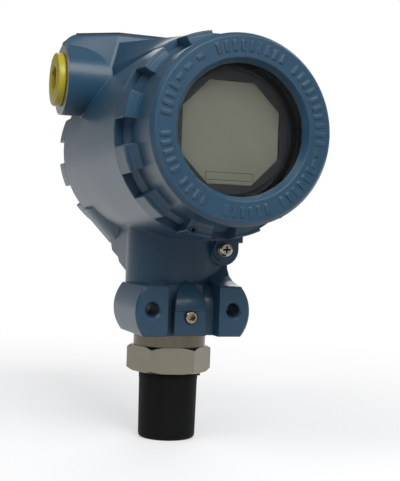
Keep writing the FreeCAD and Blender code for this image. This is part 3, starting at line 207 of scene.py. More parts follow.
class Graph:
    """Short way to add and join nodes in one node tree."""

    def __init__(self, tree: bpy.types.NodeTree) -> None:
        """Keep the tree that the nodes go into."""
        self.tree = tree

    def add(self, kind: str, **settings: object) -> bpy.types.Node:
        """Add a node.

        Args:
            kind: The node's type name.
            **settings: Attributes of the node, such as operation.

        Returns:
            The new node.
        """
        node = self.tree.nodes.new(kind)
        for name, value in settings.items():
            setattr(node, name, value)
        return node

    def join(self, source: bpy.types.NodeSocket, target: bpy.types.NodeSocket) -> None:
        """Link an output to an input."""
        self.tree.links.new(source, target)

    def feed(self, socket: bpy.types.NodeSocket, value: object) -> None:
        """Give an input a link or a plain value.

        Args:
            socket: The input.
            value: Another node's output, or a number, a vector or a colour without opacity.
        """
        if isinstance(value, bpy.types.NodeSocket):
            self.join(value, socket)
        else:
            socket.default_value = rgba(value) if socket.type == "RGBA" else value

    def put(self, node: bpy.types.Node, **values: object) -> None:
        """Give a node's inputs links or plain values.

        Args:
            node: The node.
            **values: Its inputs, by name with underscores for spaces.
        """
        for label, value in values.items():
            self.feed(node.inputs[label.replace("_", " ")], value)

    def math(self, operation: str, first: object, second: object = 0.0,
             clamp: bool = False) -> bpy.types.NodeSocket:
        """Result of a Math node.

        Args:
            operation: The node's operation.
            first: Its first value or link.
            second: Its second value or link.
            clamp: Whether the result stays in 0 to 1.

        Returns:
            The node's output.
        """
        node = self.add("ShaderNodeMath", operation=operation, use_clamp=clamp)
        self.feed(node.inputs[0], first)
        self.feed(node.inputs[1], second)
        return node.outputs[0]

    def product(self, first: object, *others: object, clamp: bool = False) -> bpy.types.NodeSocket:
        """Product of several values.

        Args:
            first: The first value or link.
            *others: The other values or links.
            clamp: Whether the last step's result stays in 0 to 1.

        Returns:
            The last node's output.
        """
        for k, other in enumerate(others, 1):
            first = self.math("MULTIPLY", first, other, clamp and k == len(others))
        return first

    def vector(self, operation: str, first: object, second: object = (0.0, 0.0, 0.0)) -> bpy.types.Node:
        """Vector Math node.

        Args:
            operation: The node's operation.
            first: Its first vector or link.
            second: Its second vector or link.

        Returns:
            The node.
        """
        node = self.add("ShaderNodeVectorMath", operation=operation)
        self.feed(node.inputs[0], first)
        self.feed(node.inputs[1], second)
        return node

    def group(self, tree: bpy.types.NodeTree, **values: float) -> bpy.types.Node:
        """Node of a shared group.

        Args:
            tree: The shared group.
            **values: Its inputs, by name with underscores for spaces.

        Returns:
            The node.
        """
        node = self.add("ShaderNodeGroup", node_tree=tree)
        self.put(node, **values)
        return node

    def blend(self, mask: object, first: object, second: object) -> bpy.types.NodeSocket:
        """Colour between two colours.

        Args:
            mask: Share of the second colour.
            first: Colour where the mask is 0.
            second: Colour where the mask is 1.

        Returns:
            The mixed colour.
        """
        node = self.add("ShaderNodeMix", data_type="RGBA", blend_type="MIX")
        self.feed(node.inputs["Factor"], mask)
        self.feed(node.inputs[6], first)
        self.feed(node.inputs[7], second)
        return node.outputs[2]

    def level(self, mask: object, low: float, high: float) -> bpy.types.NodeSocket:
        """Value that runs from low to high with a mask.

        Args:
            mask: A value in 0 to 1.
            low: Result at 0.
            high: Result at 1.

        Returns:
            The value.
        """
        node = self.add("ShaderNodeMapRange")
        self.put(node, Value=mask, To_Min=low, To_Max=high)
        return node.outputs["Result"]

    def place(self) -> bpy.types.NodeSocket:
        """Place on the piece, in metres."""
        return self.add("ShaderNodeTexCoord").outputs["Object"]

    def noise(self, scale: object, detail: float = 2.0,
              stretch: tuple[float, float, float] | None = None) -> bpy.types.NodeSocket:
        """Noise over the piece.

        Args:
            scale: Cells per metre, as a number or a link.
            detail: Octaves of finer noise.
            stretch: Factors on the place along X, Y and Z.

        Returns:
            The noise in 0 to 1.
        """
        where = self.place()
        if stretch is not None:
            mapping = self.add("ShaderNodeMapping")
            self.put(mapping, Scale=stretch, Vector=where)
            where = mapping.outputs[0]
        node = self.add("ShaderNodeTexNoise")
        self.put(node, Vector=where, Scale=scale, Detail=detail)
        return node.outputs["Fac"]

    def radius(self, axis: Axis, centre: Vector) -> bpy.types.NodeSocket:
        """Distance from a line.

        Args:
            axis: Direction of the line.
            centre: A point on it.

        Returns:
            The distance in metres.
        """
        shift = self.vector("SUBTRACT", self.place(), centre)
        across = [0.0 if k == axis.value else 1.0 for k in range(3)]
        flat = self.vector("MULTIPLY", shift.outputs[0], across)
        return self.vector("LENGTH", flat.outputs[0]).outputs["Value"]

    def along(self, axis: Axis) -> bpy.types.NodeSocket:
        """Coordinate along an axis, in metres."""
        split = self.add("ShaderNodeSeparateXYZ")
        self.join(self.place(), split.inputs[0])
        return split.outputs[axis.value]


def new_group(name: str, inputs: dict[str, float],
              outputs: tuple[str, ...]) -> tuple[Graph, dict, dict]:
    """Start a shader node group with value sockets.

    Args:
        name: The group's name.
        inputs: Names and defaults of its inputs.
        outputs: Names of its outputs.

    Returns:
        The graph, its input sockets by name and its output sockets by name.
    """
    tree = bpy.data.node_groups.new(name, "ShaderNodeTree")
    for label, value in inputs.items():
        socket = tree.interface.new_socket(name=label, in_out="INPUT", socket_type="NodeSocketFloat")
        socket.default_value = value
    for label in outputs:
        tree.interface.new_socket(name=label, in_out="OUTPUT", socket_type="NodeSocketFloat")
    graph = Graph(tree)
    inside = graph.add("NodeGroupInput")
    outside = graph.add("NodeGroupOutput")
    return graph, {k: inside.outputs[k] for k in inputs}, {k: outside.inputs[k] for k in outputs}


class SharedEffects:
    """Node groups that several finishes use, each built once."""

    def __init__(self) -> None:
        """Build the groups."""
        self.grain = self._grain()
        self.edges = self._edges()
        self.dust = self._dust()

    def _grain(self) -> bpy.types.NodeTree:
        """Fine and broad unevenness of a coated, moulded or cast surface.

        Returns:
            The group.
        """
        graph, given, result = new_group("surface_grain", {"Scale": 900.0, "Broad share": 0.4},
                                         ("Height", "Shade"))
        scale, share = given["Scale"], given["Broad share"]
        fine = graph.noise(graph.product(scale, 1.0), 3.0)
        broad = graph.noise(graph.product(scale, 0.12), 2.0)
        kept = graph.math("SUBTRACT", 1.0, share)
        height = graph.math("ADD", graph.product(fine, kept), graph.product(broad, share))
        graph.join(height, result["Height"])
        graph.join(graph.noise(graph.product(scale, 0.035), 4.0), result["Shade"])
        return graph.tree

    def _edges(self) -> bpy.types.NodeTree:
        """Mask of the rubbed outer edges, broken up by noise.

        Returns:
            The group.
        """
        graph, given, result = new_group("edge_wear", {"Width": 0.0006, "Amount": 1.0, "Scale": 500.0},
                                         ("Mask",))
        bevel = graph.add("ShaderNodeBevel", samples=4)
        graph.join(given["Width"], bevel.inputs["Radius"])
        geometry = graph.add("ShaderNodeNewGeometry")
        dot = graph.vector("DOT_PRODUCT", bevel.outputs[0], geometry.outputs["Normal"])
        bend = graph.product(graph.math("SUBTRACT", 1.0, dot.outputs["Value"]), 5.0, clamp=True)
        patchy = graph.noise(graph.product(given["Scale"], 1.0), 4.0)
        rubbed = graph.product(graph.math("SUBTRACT", patchy, 0.42), 6.0, clamp=True)
        graph.join(graph.product(bend, rubbed, given["Amount"], clamp=True), result["Mask"])
        return graph.tree

    def _dust(self) -> bpy.types.NodeTree:
        """Thin dust on faces that look up.

        Returns:
            The group.
        """
        graph, given, result = new_group("settled_dust", {"Amount": 0.3, "Scale": 120.0}, ("Mask",))
        geometry = graph.add("ShaderNodeNewGeometry")
        split = graph.add("ShaderNodeSeparateXYZ")
        graph.join(geometry.outputs["Normal"], split.inputs[0])
        upward = graph.product(graph.math("SUBTRACT", split.outputs[2], 0.35), 1.6, clamp=True)
        patchy = graph.noise(graph.product(given["Scale"], 1.0), 6.0)
        graph.join(graph.product(upward, patchy, given["Amount"], clamp=True), result["Mask"])
        return graph.tree


# ---- Finishes ----
@dataclass(frozen=True)
class Zone:
    """Part of a piece that is machined bare, or a driver recess painted in shade: inside a radius of a line, or past a
    plane.

    Attributes:
        axis: Axis of the line, or the plane's normal.
        limit: Radius, or the plane's place along its normal.
        centre: Point on the line; None for a plane.
        side: Which side of the limit the zone lies on.
        both_ways: Whether a plane counts on both sides of the origin.
        span: First and last place along the axis that a line's zone covers; None for all.
    """

    axis: Axis
    limit: float
    centre: tuple[float, float, float] | None = None
    side: Side = Side.BELOW
    both_ways: bool = False
    span: tuple[float, float] | None = None

    def mask(self, graph: Graph) -> bpy.types.NodeSocket:
        """Mask that is 1 in the zone.

        Args:
            graph: The material's graph.

        Returns:
            The mask.
        """
        if self.centre is not None:
            value = graph.radius(self.axis, Vector(self.centre))
        else:
            value = graph.along(self.axis)
            if self.both_ways:
                value = graph.math("ABSOLUTE", value)
        mask = graph.math(self.side.value, value, self.limit)
        if self.span is not None:
            place = graph.along(self.axis)
            mask = graph.product(mask, graph.math("GREATER_THAN", place, self.span[0]),
                                 graph.math("LESS_THAN", place, self.span[1]))
        return mask


@dataclass(frozen=True)
class Finish:
    """Common part of every finish.

    Attributes:
        name: Name of the material.
        slot: The record's material slot; not used.
        color: Main linear colour.
        roughness: Mean roughness.
        spread: How far the roughness varies.
        grain_scale: Cells per metre of the surface grain.
        grain_height: Depth of the grain in metres.
    """

    name: str
    slot: str
    color: Rgb
    roughness: float = 0.4
    spread: float = 0.08
    grain_scale: float = 900.0
    grain_height: float = 0.00002

    def material(self, effects: SharedEffects) -> bpy.types.Material:
        """Build the material.

        Args:
            effects: The shared node groups.

        Returns:
            The material.
        """
        material = bpy.data.materials.new(self.name)
        material.use_nodes = True
        graph = Graph(material.node_tree)
        self.wire(graph, graph.tree.nodes["Principled BSDF"], effects)
        return material

    def wire(self, graph: Graph, shader: bpy.types.Node, effects: SharedEffects) -> None:
        """Add the finish's nodes.

        Args:
            graph: The material's graph.
            shader: Its Principled node.
            effects: The shared node groups.
        """
        raise NotImplementedError

    def rough(self, graph: Graph, mask: object) -> bpy.types.NodeSocket:
        """Roughness that varies both ways about the mean with a mask."""
        return graph.level(mask, self.roughness - self.spread, self.roughness + self.spread)

    @staticmethod
    def surface(graph: Graph, shader: bpy.types.Node, height: object, depth: float,
                soften: float = 0.0) -> None:
        """Bump, over edges that are softened by a small radius.

        Args:
            graph: The material's graph.
            shader: The Principled node.
            height: Height mask that the bump follows.
            depth: Height in metres that the mask's 1 stands for.
            soften: Radius of the softened edges in metres.
        """
        bump = graph.add("ShaderNodeBump")
        graph.put(bump, Strength=1.0, Distance=depth, Height=height)
        if soften > 0.0:
            bevel = graph.add("ShaderNodeBevel", samples=6)
            bevel.inputs["Radius"].default_value = soften
            graph.join(bevel.outputs[0], bump.inputs["Normal"])
        graph.join(bump.outputs[0], shader.inputs["Normal"])


@dataclass(frozen=True)
class PaintFinish(Finish):
    """Glossy polyurethane paint on a casting, with bare machined zones.

    Attributes:
        worn: Colour of the metal at rubbed edges.
        dusty: Colour of the dust.
        bare: Colour of the machined zones.
        zones: The machined zones.
        coat: Weight of the clear gloss.
        gloss: Specular level of the paint.
        soften: Radius of the painted edges.
    """

    worn: Rgb = linear(118, 140, 156)
    dusty: Rgb = linear(120, 128, 132)
    bare: Rgb = linear(176, 178, 178)
    zones: tuple[Zone, ...] = ()
    coat: float = 0.06
    gloss: float = 0.36
    soften: float = 0.0009

    def wire(self, graph: Graph, shader: bpy.types.Node, effects: SharedEffects) -> None:
        """Add the finish's nodes; see the base class."""
        grain = graph.group(effects.grain, Scale=self.grain_scale, Broad_share=0.65)
        wear = graph.group(effects.edges, Width=0.0007, Amount=0.35, Scale=420.0)
        dust = graph.group(effects.dust, Amount=0.16, Scale=110.0)
        color = graph.blend(grain.outputs["Shade"], scaled(self.color, 0.86), scaled(self.color, 1.10))
        color = graph.blend(wear.outputs["Mask"], color, self.worn)
        color = graph.blend(dust.outputs["Mask"], color, self.dusty)
        coat: object = self.coat
        if self.zones:
            machined = self.zones[0].mask(graph)
            for zone in self.zones[1:]:
                machined = graph.math("MAXIMUM", machined, zone.mask(graph))
            turning = graph.noise(2600.0, 2.0, (1.0, 0.12, 1.0))
            metal = graph.blend(turning, scaled(self.bare, 0.8), self.bare)
            color = graph.blend(machined, color, metal)
            graph.put(shader, Metallic=machined)
            coat = graph.product(graph.math("SUBTRACT", 1.0, machined), self.coat)
        graph.put(shader, Base_Color=color, Roughness=self.rough(graph, grain.outputs["Shade"]),
                  Coat_Weight=coat, Coat_Roughness=0.12, Specular_IOR_Level=self.gloss)
        self.surface(graph, shader, grain.outputs["Height"], self.grain_height, self.soften)


@dataclass(frozen=True)
class MetalFinish(Finish):
    """Turned, pressed or plated metal with fine tool marks and stains, and painted shade above a height where one is
    given.

    Attributes:
        marks: Factors on the place along X, Y and Z, which draw the marks out.
        marks_scale: Cells per metre across the marks.
        stain: Colour of the darker stain patches, and of the painted shade above the given height.
        thread: Pitch, first and last height of a thread along Z; None for no thread.
        painted_shade_above: Height above which shade is painted on the metal, darker in vertical streaks that stand in
            for streaky reflections; None for nowhere.
        recess: Zone of a driver recess, painted in shade; None for none.
        shadow: Colour of the painted shade in the recess.
        soften: Radius of the edges.
    """

    marks: tuple[float, float, float] = (1.0, 1.0, 1.0)
    marks_scale: float = 2500.0
    stain: Rgb = linear(96, 90, 82)
    thread: tuple[float, float, float] | None = None
    painted_shade_above: float | None = None
    recess: Zone | None = None
    shadow: Rgb = linear(34, 32, 28)
    soften: float = 0.0003

    def wire(self, graph: Graph, shader: bpy.types.Node, effects: SharedEffects) -> None:
        """Add the finish's nodes; see the base class."""
        grain = graph.group(effects.grain, Scale=self.grain_scale, Broad_share=0.3)
        wear = graph.group(effects.edges, Width=0.0005, Amount=0.6, Scale=700.0)
        lines = graph.noise(self.marks_scale, 3.0, self.marks)
        color = graph.blend(graph.product(grain.outputs["Shade"], 0.55), self.color, self.stain)
        color = graph.blend(wear.outputs["Mask"], color, scaled(self.color, 1.35))
        # Painted shade: above this height the metal takes the darker colour in vertical streaks, standing in for the
        # shade under the housing and the streaky reflections on the collar.
        if self.painted_shade_above is not None:
            high = graph.math("GREATER_THAN", graph.along(Axis.Z), self.painted_shade_above)
            shade_streaks = graph.level(graph.noise(160.0, 2.0, (1.0, 1.0, 0.1)), 0.35, 1.0)
            color = graph.blend(graph.product(high, shade_streaks), color, self.stain)
        if self.recess is not None:
            # Painted shade in the driver recess.
            color = graph.blend(self.recess.mask(graph), color, self.shadow)
        height = graph.math("ADD", graph.product(lines, 0.7), graph.product(grain.outputs["Height"], 0.3))
        if self.thread is not None:
            height = graph.math("ADD", height, self._thread_height(graph))
        graph.put(shader, Metallic=1.0, Base_Color=color, Roughness=self.rough(graph, lines))
        self.surface(graph, shader, height, self.grain_height, self.soften)

    def _thread_height(self, graph: Graph) -> bpy.types.NodeSocket:
        """Height of the thread's ridges.

        Args:
            graph: The material's graph.

        Returns:
            The height in units of the grain's depth.
        """
        pitch, low, high = self.thread
        z = graph.along(Axis.Z)
        ridge = graph.math("PINGPONG", z, pitch / 2)
        inside = graph.product(graph.math("GREATER_THAN", z, low), graph.math("LESS_THAN", z, high))
        return graph.product(ridge, inside, 0.9 / self.grain_height)


@dataclass(frozen=True)
class MouldedFinish(Finish):
    """Moulded plastic or rubber, matt or glossy, with scuffs.

    Attributes:
        scuff: Colour of scuffs and faded patches.
        scuffed: Largest share of the scuffs.
        dusty: Colour of the dust.
        gloss: Specular level.
        soften: Radius of the edges.
    """

    scuff: Rgb = (0.2, 0.2, 0.2)
    scuffed: float = 0.3
    dusty: Rgb = linear(130, 128, 122)
    gloss: float = 0.5
    soften: float = 0.0004

    def wire(self, graph: Graph, shader: bpy.types.Node, effects: SharedEffects) -> None:
        """Add the finish's nodes; see the base class."""
        grain = graph.group(effects.grain, Scale=self.grain_scale, Broad_share=0.35)
        wear = graph.group(effects.edges, Width=0.0006, Amount=0.5, Scale=500.0)
        dust = graph.group(effects.dust, Amount=0.2, Scale=150.0)
        scratches = graph.noise(300.0, 6.0, (1.0, 1.0, 0.25))
        patches = graph.product(graph.math("SUBTRACT", scratches, 0.5), 2.0 * self.scuffed, clamp=True)
        color = graph.blend(patches, self.color, self.scuff)
        color = graph.blend(wear.outputs["Mask"], color, self.scuff)
        color = graph.blend(dust.outputs["Mask"], color, self.dusty)
        graph.put(shader, Base_Color=color, Roughness=self.rough(graph, scratches),
                  Specular_IOR_Level=self.gloss)
        self.surface(graph, shader, grain.outputs["Height"], self.grain_height, self.soften)


@dataclass(frozen=True)
class GlassFinish(Finish):
    """Clear toughened glass with a trace of smears."""

    def wire(self, graph: Graph, shader: bpy.types.Node, effects: SharedEffects) -> None:
        """Add the finish's nodes; see the base class."""
        smear = graph.noise(60.0, 5.0, (1.0, 1.0, 0.4))
        graph.put(shader, Base_Color=self.color, Transmission_Weight=1.0, IOR=1.48,
                  Roughness=graph.level(smear, self.roughness, self.roughness + self.spread))


@dataclass(frozen=True)
class DisplayFinish(Finish):
    """Face of the unpowered liquid-crystal panel: grey with a faint weave of electrodes."""

    def wire(self, graph: Graph, shader: bpy.types.Node, effects: SharedEffects) -> None:
        """Add the finish's nodes; see the base class."""
        shade = graph.noise(45.0, 2.0)
        weave = graph.noise(1500.0, 0.0, (0.2, 1.0, 2.0))
        mask = graph.math("ADD", graph.product(shade, 0.8), graph.product(weave, 0.2))
        darker = scaled(self.color, 0.88)
        graph.put(shader, Base_Color=graph.blend(mask, darker, self.color),
                  Roughness=graph.level(shade, self.roughness, self.roughness + self.spread))
        self.surface(graph, shader, weave, self.grain_height)


@dataclass(frozen=True)
class BoardFinish(Finish):
    """Green solder mask with paler tracks under it.

    Attributes:
        track: Colour of the tracks.
    """

    track: Rgb = linear(46, 110, 70)

    def wire(self, graph: Graph, shader: bpy.types.Node, effects: SharedEffects) -> None:
        """Add the finish's nodes; see the base class."""
        tracks = graph.add("ShaderNodeTexBrick", offset=0.5)
        mapping = graph.add("ShaderNodeMapping")
        graph.put(mapping, Rotation=(math.pi / 2, 0.0, 0.0), Vector=graph.place())
        graph.put(tracks, Vector=mapping.outputs[0], Scale=90.0, Mortar_Size=0.06)
        patch = graph.noise(220.0, 2.0)
        mask = graph.product(tracks.outputs["Fac"], graph.math("GREATER_THAN", patch, 0.48))
        graph.put(shader, Base_Color=graph.blend(mask, self.color, self.track),
                  Roughness=graph.level(patch, self.roughness, self.roughness + self.spread))
        self.surface(graph, shader, mask, self.grain_height)


# ---- Pieces ----
def mesh_object(name: str, shape: bmesh.types.BMesh) -> bpy.types.Object:
    """Object from a finished bmesh, linked to the scene.

    Args:
        name: The object's name.
        shape: The shape, which is freed.

    Returns:
        The object.
    """
    mesh = bpy.data.meshes.new(name)
    shape.to_mesh(mesh)
    shape.free()
    piece = bpy.data.objects.new(name, mesh)
    bpy.context.scene.collection.objects.link(piece)
    return piece


def skinned(name: str, sections: list[list], closed: bool = False) -> bpy.types.Object:
    """Smooth mesh through sections of equal point count.

    Args:
        name: Name of the piece.
        sections: The sections' points, all in one turning direction.
        closed: Whether the last section joins the first; otherwise both ends are capped.

    Returns:
        The piece.
    """
    shape = bmesh.new()
    rings = [[shape.verts.new(p) for p in section] for section in sections]
    count = len(rings[0])
    pairs = list(zip(rings, rings[1:])) + ([(rings[-1], rings[0])] if closed else [])
    for first, second in pairs:
        for k in range(count):
            n = (k + 1) % count
            shape.faces.new((first[k], first[n], second[n], second[k]))
    if not closed:
        shape.faces.new(rings[0])
        shape.faces.new(rings[-1])
    bmesh.ops.recalc_face_normals(shape, faces=shape.faces)
    for face in shape.faces:
        face.smooth = True
    piece = mesh_object(name, shape)
    piece.data.set_sharp_from_angle(angle=SHARP)
    return piece


@dataclass
class SubAssembly:
    """A group of nodes that share a body or a function.

    Attributes:
        finishes: Built materials by finish name.
        slots: The record's material slot of every node.
        plain: Nodes whose finish has their slot's name.
        special: Other nodes, each with its finish.
    """

    finishes: dict[str, bpy.types.Material]
    slots: dict[str, str]
    plain: Names = ()
    special: Pairs = ()

    def dress(self, node: str, finish: str) -> None:
        """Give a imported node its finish.

        Args:
            node: The node's name.
            finish: The finish's name.
        """
        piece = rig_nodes()[node]
        piece.data.materials.clear()
        piece.data.materials.append(self.finishes[finish])
        LOG.info("%s: %s", node, finish)

    def attach(self, piece: bpy.types.Object, body: str, slot: str, finish: str,
               replaced: str | None = None) -> None:
        """Let a new piece ride on a body, and dress it.

        Args:
            piece: The new piece.
            body: The body that carries it.
            slot: Its material slot.
            finish: The finish's name.
            replaced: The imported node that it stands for, if any.
        """
        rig.ride(piece, body)
        if replaced is not None:
            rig.replaces(piece, replaced)
        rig.slot(piece, slot)
        piece.data.materials.append(self.finishes[finish])
        LOG.info("%s: %s", piece.name, finish)

    def build(self) -> None:
        """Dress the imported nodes."""
        for node in self.plain:
            self.dress(node, self.slots[node])
        for node, finish in self.special:
            self.dress(node, finish)


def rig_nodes() -> dict[str, bpy.types.Object]:
    """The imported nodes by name."""
    return {piece["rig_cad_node"]: piece for piece in bpy.data.objects if "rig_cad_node" in piece}


@dataclass
class Housing(SubAssembly):
    """The casting with its nameplate, ground fittings and lock screw.

    Attributes:
        arch: Height, half width and front of the arched boss above the lock screw's pad.
        arch_back: Y of the arch's back, inside the casting.
        crown: Rise of the arch's front between its edges.
        web: Height and front of the web between the pad and the right ear.
        web_sides: X of the web's two sides.
        web_back: Y of the web's back, inside the casting.
        web_slant: How much further its front stands out on the right.
        skirt: X and Z of the rear web's lower corners, outer and inner.
        skirt_run: Y of the skirt's tip, of its full section and of its end on the rear web.
        skirt_tip_r: Radius about the drum's axis at which the skirt's tip is sunk in the drum.
        skirt_inner: Radius of the skirt's inner corners over that of the outer ones.

    Its lengths are in millimetres.
    """

    arch: tuple[tuple[float, float, float], ...] = (
        (56.9, 7.00, -28.25), (58.5, 6.98, -28.15), (60.0, 6.85, -27.90), (61.5, 6.55, -27.50),
        (63.0, 6.00, -26.95), (64.5, 5.25, -26.20), (66.0, 4.40, -25.30), (67.4, 3.20, -24.30),
        (68.6, 1.80, -23.30), (69.3, 0.50, -22.60))
    arch_back: float = -20.0
    crown: float = 0.55
    web: tuple[tuple[float, float], ...] = (
        (46.35, -25.0), (56.0, -25.0), (61.0, -24.4), (64.5, -23.0), (67.0, -20.8), (68.4, -17.8))
    web_sides: tuple[float, float] = (6.9, 11.8)
    web_back: float = -15.0
    web_slant: float = 0.5
    skirt: tuple[tuple[float, float], ...] = ((32.1, 100.3), (17.5, 84.7))
    skirt_run: tuple[float, float, float] = (21.0, 29.0, 40.5)
    skirt_tip_r: float = 41.0
    skirt_inner: float = 0.86
    plain: Names = ("nameplate", "nameplate_pins", "ground_washer", "inner_ground_screw",
                    "feedthrough_seals", "feedthrough_pins")
    special: Pairs = (("housing", "housing_paint"), ("ground_screw", "ground_screw_steel"),
                      ("sensor_lock_screw", "lock_screw_steel"))

    def build(self) -> None:
        """Dress the casting and what is fixed to it, and add its cast blends."""
        super().build()
        axis_z = sum(v.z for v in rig.box("front_cover")) / 2
        for name, sections in (("pad_arch", self.arch_sections()), ("ear_web", self.web_sections()),
                               ("skirt_left", self.skirt_sections(-1.0, axis_z)),
                               ("skirt_right", self.skirt_sections(1.0, axis_z))):
            self.attach(skinned(name, sections), "housing_body", "paint", "housing_paint")

    def arch_sections(self) -> list[list[Vector]]:
        """Level sections of the arched boss, crowned in front and flat at the sides.

        Returns:
            The sections, from the lowest up.
        """
        sections = []
        for z, half, front in self.arch:
            line = [Vector((-half, self.arch_back, z))]
            for k in range(9):
                u = k / 4.0 - 1.0
                line.append(Vector((u * half, front - self.crown * (1.0 - u * u), z)))
            line.append(Vector((half, self.arch_back, z)))
            sections.append([p * MM for p in line])
        return sections

    def web_sections(self) -> list[list[Vector]]:
        """Level sections of the web between the pad and the right ear.

        Returns:
            The sections, from the lowest up.
        """
        left, right = self.web_sides
        back = self.web_back
        return [[Vector(p) * MM for p in ((left, back, z), (left, front, z),
                                          (right, front - self.web_slant, z), (right, back, z))]
                for z, front in self.web]

    def skirt_sections(self, side: float, axis_z: float) -> list[list[Vector]]:
        """Upright sections of the skirt that joins the drum and the rear web.

        Args:
            side: -1 for the left side, 1 for the right.
            axis_z: Height of the drum's axis.

        Returns:
            The sections, from front to rear.
        """
        centre = Vector((0.0, 0.0, axis_z))
        outer = [Vector((side * x, 0.0, z)) * MM for x, z in self.skirt]
        inner = [centre + (p - centre) * self.skirt_inner for p in reversed(outer)]
        tip, full, end = (y * MM for y in self.skirt_run)
        sunk = [centre + (p - centre) * (self.skirt_tip_r * MM / (p - centre).length) for p in outer]
        sections = []
        for y, rim in ((tip, sunk), (full, outer), (end, outer)):
            sections.append([Vector((p.x, y, p.z)) for p in rim + inner])
        return sections


@dataclass
class FrontCover(SubAssembly):
    """Front cover with its window, gasket, retaining ring and seal."""

    plain: Names = ("window_gasket", "window_glass", "glass_retaining_ring", "front_cover_seal")
    special: Pairs = (("front_cover", "front_cover_paint"), ("front_jam_screw", "screw_paint"))


@dataclass
class RearCover(SubAssembly):
    """Blank rear cover with its seal."""

    plain: Names = ("rear_cover_seal",)
    special: Pairs = (("rear_cover", "rear_cover_paint"), ("rear_jam_screw", "screw_paint"))


@dataclass
class Display(SubAssembly):
    """Display cup with its panel and the outline of the bar graph on the panel.

    Attributes:
        bar_half_width: Half width of the bar graph's outline.
        bar_low: Its lower edge below the drum axis.
        bar_high: Its upper edge below the drum axis.
        line: Width of the printed lines.
        ink: Thickness of the printed lines.
    """

    bar_half_width: float = 10.0 * MM
    bar_low: float = -18.6 * MM
    bar_high: float = -15.4 * MM
    line: float = 0.22 * MM
    ink: float = 0.03 * MM
    plain: Names = ("display_bezel", "lcd_panel", "lcd_backing", "display_board", "display_posts",
                    "display_screws", "display_link")

    def build(self) -> None:
        """Dress the display and print the bar's outline."""
        super().build()
        self.attach(self.bar_outline(), "housing_body", "black_plastic", "printed_line")

    def bar_outline(self) -> bpy.types.Object:
        """Thin raised lines of the bar's outline, as one closed frame.

        Returns:
            The piece.
        """
        low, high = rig.box("lcd_panel")
        middle = (low.z + high.z) / 2
        back = low.y + 0.004 * MM
        front = low.y - self.ink
        shape = bmesh.new()
        half = self.bar_half_width
        outer = ((-half, self.bar_low), (half, self.bar_low), (half, self.bar_high), (-half, self.bar_high))
        middle_z = (self.bar_low + self.bar_high) / 2
        rings = []
        for y in (back, front):
            for inset in (0.0, self.line):
                ring = []
                for x, z in outer:
                    u = x - math.copysign(inset, x)
                    v = z - math.copysign(inset, z - middle_z)
                    ring.append(shape.verts.new((u, y, middle + v)))
                rings.append(ring)
        back_out, back_in, front_out, front_in = rings
        for k in range(4):
            n = (k + 1) % 4
            shape.faces.new((front_out[k], front_out[n], front_in[n], front_in[k]))
            shape.faces.new((back_out[n], back_out[k], back_in[k], back_in[n]))
            shape.faces.new((back_out[k], back_out[n], front_out[n], front_out[k]))
            shape.faces.new((back_in[n], back_in[k], front_in[k], front_in[n]))
        bmesh.ops.recalc_face_normals(shape, faces=shape.faces)
        return mesh_object("bar_outline", shape)


@dataclass
class Electronics(SubAssembly):
    """Electronics board with its parts, behind the display."""

    plain: Names = ("electronics_board", "electronics_can", "board_chips", "board_posts", "board_screws")


@dataclass
class Terminals(SubAssembly):
    """Terminal block behind the rear cover."""

    plain: Names = ("terminal_block", "terminal_clamps", "terminal_fixings",
                    *(f"terminal_screw_{k}" for k in range(1, 5)))


